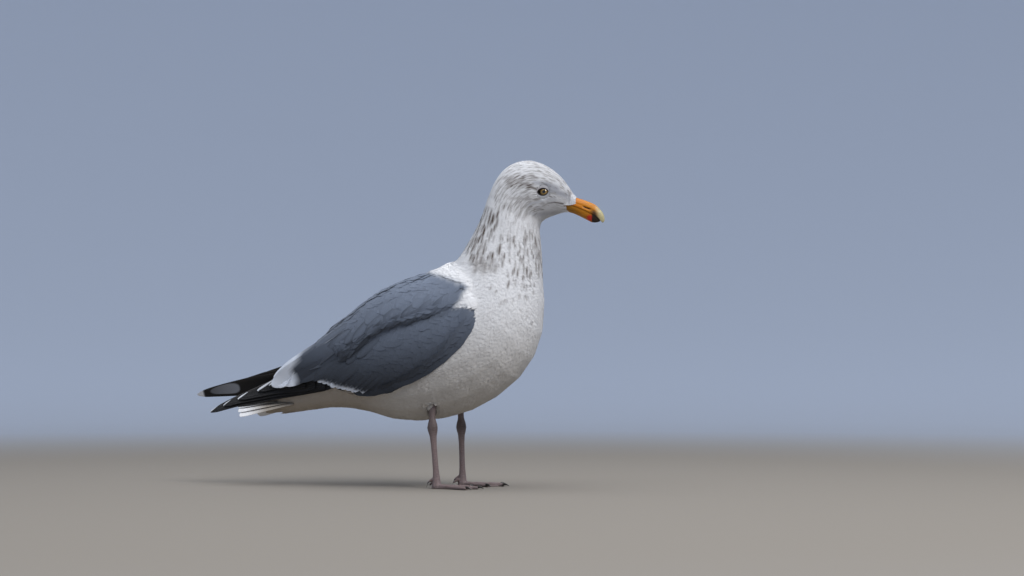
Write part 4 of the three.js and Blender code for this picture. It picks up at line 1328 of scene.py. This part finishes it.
# the nostril's slit, from end to end [x, z]
NOSTRIL = [(256.0, 353.6), (263.4, 350.8)]
upper_mesh = sheath("bill_upper_horn", CULMEN, UPPER_EDGE, UPPER_WIDTH, 0.9, False)
places = points_of(upper_mesh)
flat = places[:, [0, 2]] / MM
slit = np.exp(-((stroke_gap(flat, *NOSTRIL) / 0.9) ** 2)) * (np.abs(places[:, 1]) > 2 * MM)
places[:, 1] -= np.sign(places[:, 1]) * slit * 1.6 * MM
ridge_z = np.interp(flat[:, 0], [p[0] for p in CULMEN[:8]], [p[1] for p in CULMEN[:8]])
edge_z = np.interp(flat[:, 0], [p[0] for p in UPPER_EDGE[:9]], [p[1] for p in UPPER_EDGE[:9]])
low_share = np.clip((flat[:, 1] - edge_z) / np.maximum(ridge_z - edge_z, 1), 0, 1)
# a shallow groove runs forward from the nostril
groove = np.exp(-(((low_share - 0.36) / 0.09) ** 2)) * np.clip((276 - flat[:, 0]) / 12, 0, 1)
places[:, 1] -= np.sign(places[:, 1]) * groove * 0.35 * MM
upper_mesh.vertices.foreach_set("co", places.astype(np.float32).ravel())
colour = np.tile(HORN, (len(places), 1))
colour = blend(colour, HORN_ORANGE, np.clip((262 - flat[:, 0]) / 22, 0, 1) * 0.8)
colour = blend(colour, HORN_TIP, np.clip((flat[:, 0] - 269.5) / 7, 0, 1) ** 0.8)
dark_edge = np.exp(-(((flat[:, 0] - 269.5) / 4.5) ** 2)) * np.clip((0.55 - low_share) / 0.3, 0, 1)
colour = blend(colour, HORN_BLACK, dark_edge * 0.9)
# painted shade: the nostril's slit is darkened nearly black, as the hollow inside it
colour = blend(colour, HORN_BLACK, np.clip(slit * 1.5 - 0.35, 0, 1) * 0.92)
paint(upper_mesh, colour)
upper_bill = shown("bill_upper_horn", upper_mesh, horn)
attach(upper_bill, "root")
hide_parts("bill_upper")

lower_mesh = sheath("bill_lower_horn", GONYS, LOWER_EDGE, LOWER_WIDTH, 0.8, True)
places = points_of(lower_mesh)
flat = places[:, [0, 2]] / MM
colour = np.tile(HORN, (len(places), 1))
colour = blend(colour, HORN_OLIVE, np.clip((258 - flat[:, 0]) / 20, 0.25, 1) * 0.85)
red = np.exp(-((((flat[:, 0] - 263.6) / 4.2) ** 2 + ((flat[:, 1] - 339.8) / 3.6) ** 2) ** 1.5))
colour = blend(colour, HORN_RED, np.clip(red * 1.4, 0, 1))
black = np.clip((flat[:, 0] - 265.2 - (flat[:, 1] - 339) * 0.1) / 1.4, 0, 1)
colour = blend(colour, HORN_BLACK, black * 0.96)
paint(lower_mesh, colour)
lower_bill = shown("bill_lower_horn", lower_mesh, horn)
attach(lower_bill, "root")
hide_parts("bill_lower")

# ---------------------------------------------------------------- eyes
# Pale amber eyes with a small round pupil, set in almond lids. The eyeball is wet and glossy, and each lid is
# a thin dark rim with bare grey skin round it that goes under the feathers.
EYEBALL = 8.6 * MM
EYE_SIDE = 12.9 * MM
PUPIL = 2.0
IRIS = 4.5
BULGE = 0.4 * MM
EYE_RINGS = 60
EYE_ROUND = 48
LID_RINGS = 20
LID_ROUND = 72
# the opening's half length, its height over the middle and under it, how far out the lids end, and how much
# of them is dark rim and pale skin
LID_LONG = 6.1 * MM
LID_UP = 3.2 * MM
LID_DOWN = 3.7 * MM
LID_OUT = 9.4 * MM
LID_RIM = 0.27
LID_PALE_END = 0.45
LID_TILT = radians(-6)
# the skin is whole this far from the middle of the socket
SOCKET = 10.5 * MM
IRIS_OUTER = np.array([0.16, 0.085, 0.018])
IRIS_INNER = np.array([0.34, 0.215, 0.055])
PUPIL_BLACK = np.array([0.004, 0.004, 0.004])
BALL_DARK = np.array([0.02, 0.015, 0.012])
RIM = (0.014, 0.011, 0.010)
LID_PALE = (0.46, 0.42, 0.42)
LID_GREY = (0.38, 0.38, 0.40)

wet, wet_tree, wet_shader = finish_of("wet_eye", 0.06, 0.5)
wet_shader.inputs["Coat Weight"].default_value = 0.8
wet_shader.inputs["Coat Roughness"].default_value = 0.03
wet_grain = node(wet_tree, "TexNoise", Scale=2200.0, Detail=2.0)
marked(wet_tree, wet_shader, ranged(wet_tree, wet_grain.outputs["Fac"], 0.7, 1.25))

lid_skin, lid_tree, lid_shader = finish_of("lid_skin", 0.5, 0.4)
lid_marking = node(lid_tree, "Attribute", attribute_name="Marking")
lid_tree.links.new(lid_marking.outputs["Color"], lid_shader.inputs["Base Color"])
lid_grain = node(lid_tree, "TexNoise", Scale=1500.0, Detail=2.0)
bumped(lid_tree, lid_shader, lid_grain.outputs["Fac"], 0.4, 0.0002)

for side_name, side in SIDES:
    middle = np.array([EYE[0], side * EYE_SIDE, EYE[2]])
    gaze = unit(np.array([0.16, side, 0.02]))
    level = unit(np.cross(gaze, (0, 0, 1)))
    upright = np.cross(level, gaze)
    rows = []
    colours = []
    for i in range(EYE_RINGS):
        angle = pi * (i / (EYE_RINGS - 1)) ** 1.4
        off = EYEBALL * sin(angle) / MM if angle < pi / 2 else 9
        bulge = BULGE * max(0, 1 - (off / IRIS) ** 2)
        ring = []
        for k in range(EYE_ROUND):
            turn = 2 * pi * k / EYE_ROUND
            spoke = level * cos(turn) + upright * sin(turn)
            ring.append(middle + (gaze * cos(angle) + spoke * max(sin(angle), 1e-4)) * (EYEBALL + bulge))
        rows.append(ring)
        share = np.clip((off - PUPIL) / (IRIS - PUPIL), 0, 1)
        iris = IRIS_INNER + (IRIS_OUTER - IRIS_INNER) * share
        if off < PUPIL:
            iris = PUPIL_BLACK
        if off > IRIS:
            iris = BALL_DARK
        colours += [iris] * EYE_ROUND
    mesh = grid_mesh("eyeball_" + side_name, rows, True)
    paint(mesh, np.array(colours))
    eyeball = shown("eyeball_" + side_name, mesh, wet)
    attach(eyeball, "root")
    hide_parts("eye_" + side_name)

    # the lids close the socket at the level of the skin round it
    turns = np.linspace(0, 2 * pi, 24)
    spots = [(EYE[0] + SOCKET * cos(a), EYE[2] + SOCKET * sin(a)) for a in turns]
    reaches = [cheek_at(x, z) for x, z in spots]
    skin_level = np.linalg.lstsq(np.column_stack([spots, np.ones(len(turns))]), reaches, rcond=None)[0]
    rows = []
    colours = []
    for i in range(LID_RINGS):
        share = i / (LID_RINGS - 1)
        ring = []
        for k in range(LID_ROUND):
            turn = 2 * pi * k / LID_ROUND
            height = LID_UP if sin(turn) > 0 else LID_DOWN
            tall = height * abs(sin(turn)) ** (0.45 * (1 - share))
            dx = (LID_LONG + share * (LID_OUT - LID_LONG)) * cos(turn)
            dz = (tall + share * (LID_OUT - height)) * sin(turn)
            x = EYE[0] + dx * cos(LID_TILT) + dz * sin(LID_TILT)
            z = EYE[2] + dz * cos(LID_TILT) - dx * sin(LID_TILT)
            off = np.hypot(x - EYE[0], z - EYE[2])
            ball = sqrt(max(EYEBALL**2 - off**2, 1e-9)) + EYE_SIDE
            ball += BULGE * max(0, 1 - (off / (IRIS * MM)) ** 2)
            cheek = max(cheek_at(x, z) or 0, float(skin_level @ (x, z, 1)))
            ease = min(share / 0.35, 1)
            ease = ease * ease * (3 - 2 * ease)
            over = ball + 0.25 * MM
            # ahead the lid stands a little higher, as the feathers there lie towards it
            ahead = 0.5 + 0.5 * cos(turn)
            raised = cheek + (0.5 + 0.2 * ahead - 0.6 * max(0, share - 0.5) / 0.5) * MM
            y = over * (1 - ease) + raised * ease + 0.2 * MM * max(0, sin(min(share / 0.3, 1) * pi))
            if off < EYEBALL * 0.98:
                y = max(y, over)
            ring.append((x, side * y, z))
            outer_lid = LID_PALE if sin(turn) > 0 and share < LID_PALE_END else LID_GREY
            colours.append(RIM if share < LID_RIM else outer_lid)
        rows.append(ring)
    mesh = grid_mesh("lids_" + side_name, rows, True)
    paint(mesh, np.array(colours))
    lids = shown("lids_" + side_name, mesh, lid_skin)
    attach(lids, "root")

# ---------------------------------------------------------------- legs and feet
# Bare pinkish grey legs in scaly skin: a short shin above the knobbly ankle, the thin shank, and three toes
# joined by webs, with a tiny hind toe. Broad scales cross the front of the shank and the top of each toe.
LEG_VOXEL = 0.8 * MM
# where the ball of each foot stands [x, y], and each toe's length and outward turn
BALLS = {"right": (71.5, -33.0), "left": (85.0, 33.0)}
TOES = {"inner": (43.0, -0.47), "middle": (55.0, 0.02), "outer": (51.0, 0.44)}
LEG_PINK = np.array([0.235, 0.175, 0.172])
LEG_GREY = np.array([0.085, 0.066, 0.060])

leg_skin, leg_tree, leg_shader = finish_of("scaly_leg_skin", 0.48, 0.4)
leg_shader.inputs["Subsurface Weight"].default_value = 0.08
leg_shader.inputs["Subsurface Radius"].default_value = (0.004, 0.0015, 0.001)
leg_cells = node(leg_tree, "TexVoronoi", feature="DISTANCE_TO_EDGE", Scale=700.0)
leg_place = node(leg_tree, "TexCoord")
leg_stretch = node(leg_tree, "Mapping")
leg_stretch.inputs["Scale"].default_value = (0.6, 0.6, 1.0)
leg_tree.links.new(leg_place.outputs["Object"], leg_stretch.inputs["Vector"])
leg_tree.links.new(leg_stretch.outputs["Vector"], leg_cells.inputs["Vector"])
leg_edge = ranged(leg_tree, leg_cells.outputs["Distance"], 0.72, 1.05, 0.0, 0.14)
marked(leg_tree, leg_shader, leg_edge)
bumped(leg_tree, leg_shader, leg_edge, 0.5, 0.0003)

claw_horn, claw_tree, claw_shader = finish_of("claw_horn", 0.35, 0.5)
claw_grain = node(claw_tree, "TexNoise", Scale=900.0, Detail=2.0)
claw_ramp = node(claw_tree, "ValToRGB")
claw_ramp.color_ramp.elements[0].color = (0.008, 0.007, 0.006, 1)
claw_ramp.color_ramp.elements[1].color = (0.035, 0.028, 0.022, 1)
claw_tree.links.new(claw_grain.outputs["Fac"], claw_ramp.inputs["Fac"])
claw_tree.links.new(claw_ramp.outputs["Color"], claw_shader.inputs["Base Color"])


def claw(name, base, run, length, thick, lift):
    """A curved claw from its base, along a level direction, that comes down to a point."""
    rows = []
    for i in range(14):
        t = i / 13
        centre = np.array([base[0] + run[0] * length * t, base[1] + run[1] * length * t,
                           base[2] + lift * sin(pi * t * 0.9) - (base[2] - 0.5 * MM) * t**1.6])
        radius = thick * (1 - t) ** 0.75 + 0.12 * MM
        across = np.array([-run[1], run[0], 0])
        rows.append([centre + across * radius * 0.8 * cos(a) + np.array([0, 0, radius * sin(a)])
                     for a in (2 * pi * k / 16 for k in range(16))])
    piece = shown(name, grid_mesh(name, rows, True), claw_horn)
    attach(piece, "root")
    return piece


for side_name, side in SIDES:
    names = [part + "_" + side_name for part in ("tibia", "shank", "foot")]
    joined = joined_solids(names)
    form = bmesh.new()
    form.from_mesh(joined)
    ball_x, ball_y = BALLS[side_name]
    # the hind toe, a small knob low on the back of the shank
    for k in range(5):
        knob = bmesh.ops.create_icosphere(form, subdivisions=2, radius=(2.3 - 0.2 * k) * MM)["verts"]
        bmesh.ops.translate(form, verts=knob, vec=Vector((ball_x - 4 - 1.5 * k, ball_y, 12.5 - 0.9 * k)) * MM)
    form.to_mesh(joined)
    form.free()
    leg_mesh = remeshed(joined, LEG_VOXEL, 3)
    places = points_of(leg_mesh)
    normal = points_of(leg_mesh, value="normal")
    x, y, z = (places / MM).T
    front = np.clip(normal[:, 0] * 1.4, 0, 1) * np.clip((z - 9) / 4, 0, 1) * np.clip((82 - z) / 5, 0, 1)
    scale = np.abs(np.sin(pi * (z + 0.25 * np.abs(y - ball_y)) / 3.1)) ** 0.5
    push = front * (scale - 0.7) * 0.35
    toe_top = np.clip(normal[:, 2], 0, 1) * np.clip((9.5 - z) / 2, 0, 1) * np.clip((z - 3.2) / 1.2, 0, 1)
    reach = np.hypot(x - ball_x, y - ball_y)
    push += toe_top * (np.abs(np.sin(pi * reach / 2.9)) ** 0.5 - 0.7) * 0.4
    places += normal * (push * MM)[:, None]
    places[:, 2] = np.maximum(places[:, 2], 0.02 * MM)
    leg_mesh.vertices.foreach_set("co", places.astype(np.float32).ravel())
    leg_mesh.update()
    # darker grey at the top of the shin, on the lowest millimetres of the foot, round the ankle and in the
    # grooves between the front scales, and painted shade on the faces that look down
    share = np.clip((z - 55) / 30, 0, 1) * 0.3 + np.clip((5 - z) / 4, 0, 1) * 0.45
    share += np.clip(-normal[:, 2] - 0.5, 0, 1) + front * (0.75 - scale).clip(0, 1) * 1.5
    share += np.exp(-(((z - 77) / 7) ** 2)) * 0.45 + np.clip((z - 80) / 6, 0, 1) * 0.15
    paint(leg_mesh, blend(np.tile(LEG_PINK, (len(places), 1)), LEG_GREY, np.clip(share, 0, 1)))
    leg = shown("leg_" + side_name, leg_mesh, leg_skin)
    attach(leg, "root")
    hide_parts(*names)
    for toe, (length, outward) in TOES.items():
        run = (cos(outward), side * sin(outward))
        base = ((ball_x + run[0] * (length - 1)) * MM, (ball_y + run[1] * (length - 1)) * MM, 2.9 * MM)
        piece = claw("nail_" + toe + "_" + side_name, base, run, 8.6 * MM, 1.9 * MM, 0.8 * MM)
        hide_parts("claw_" + toe + "_" + side_name)
    hind_base = ((ball_x - 10.5) * MM, ball_y * MM, 8.6 * MM)
    claw("nail_hind_" + side_name, hind_base, (-1, 0), 3.2 * MM, 1.1 * MM, 0)
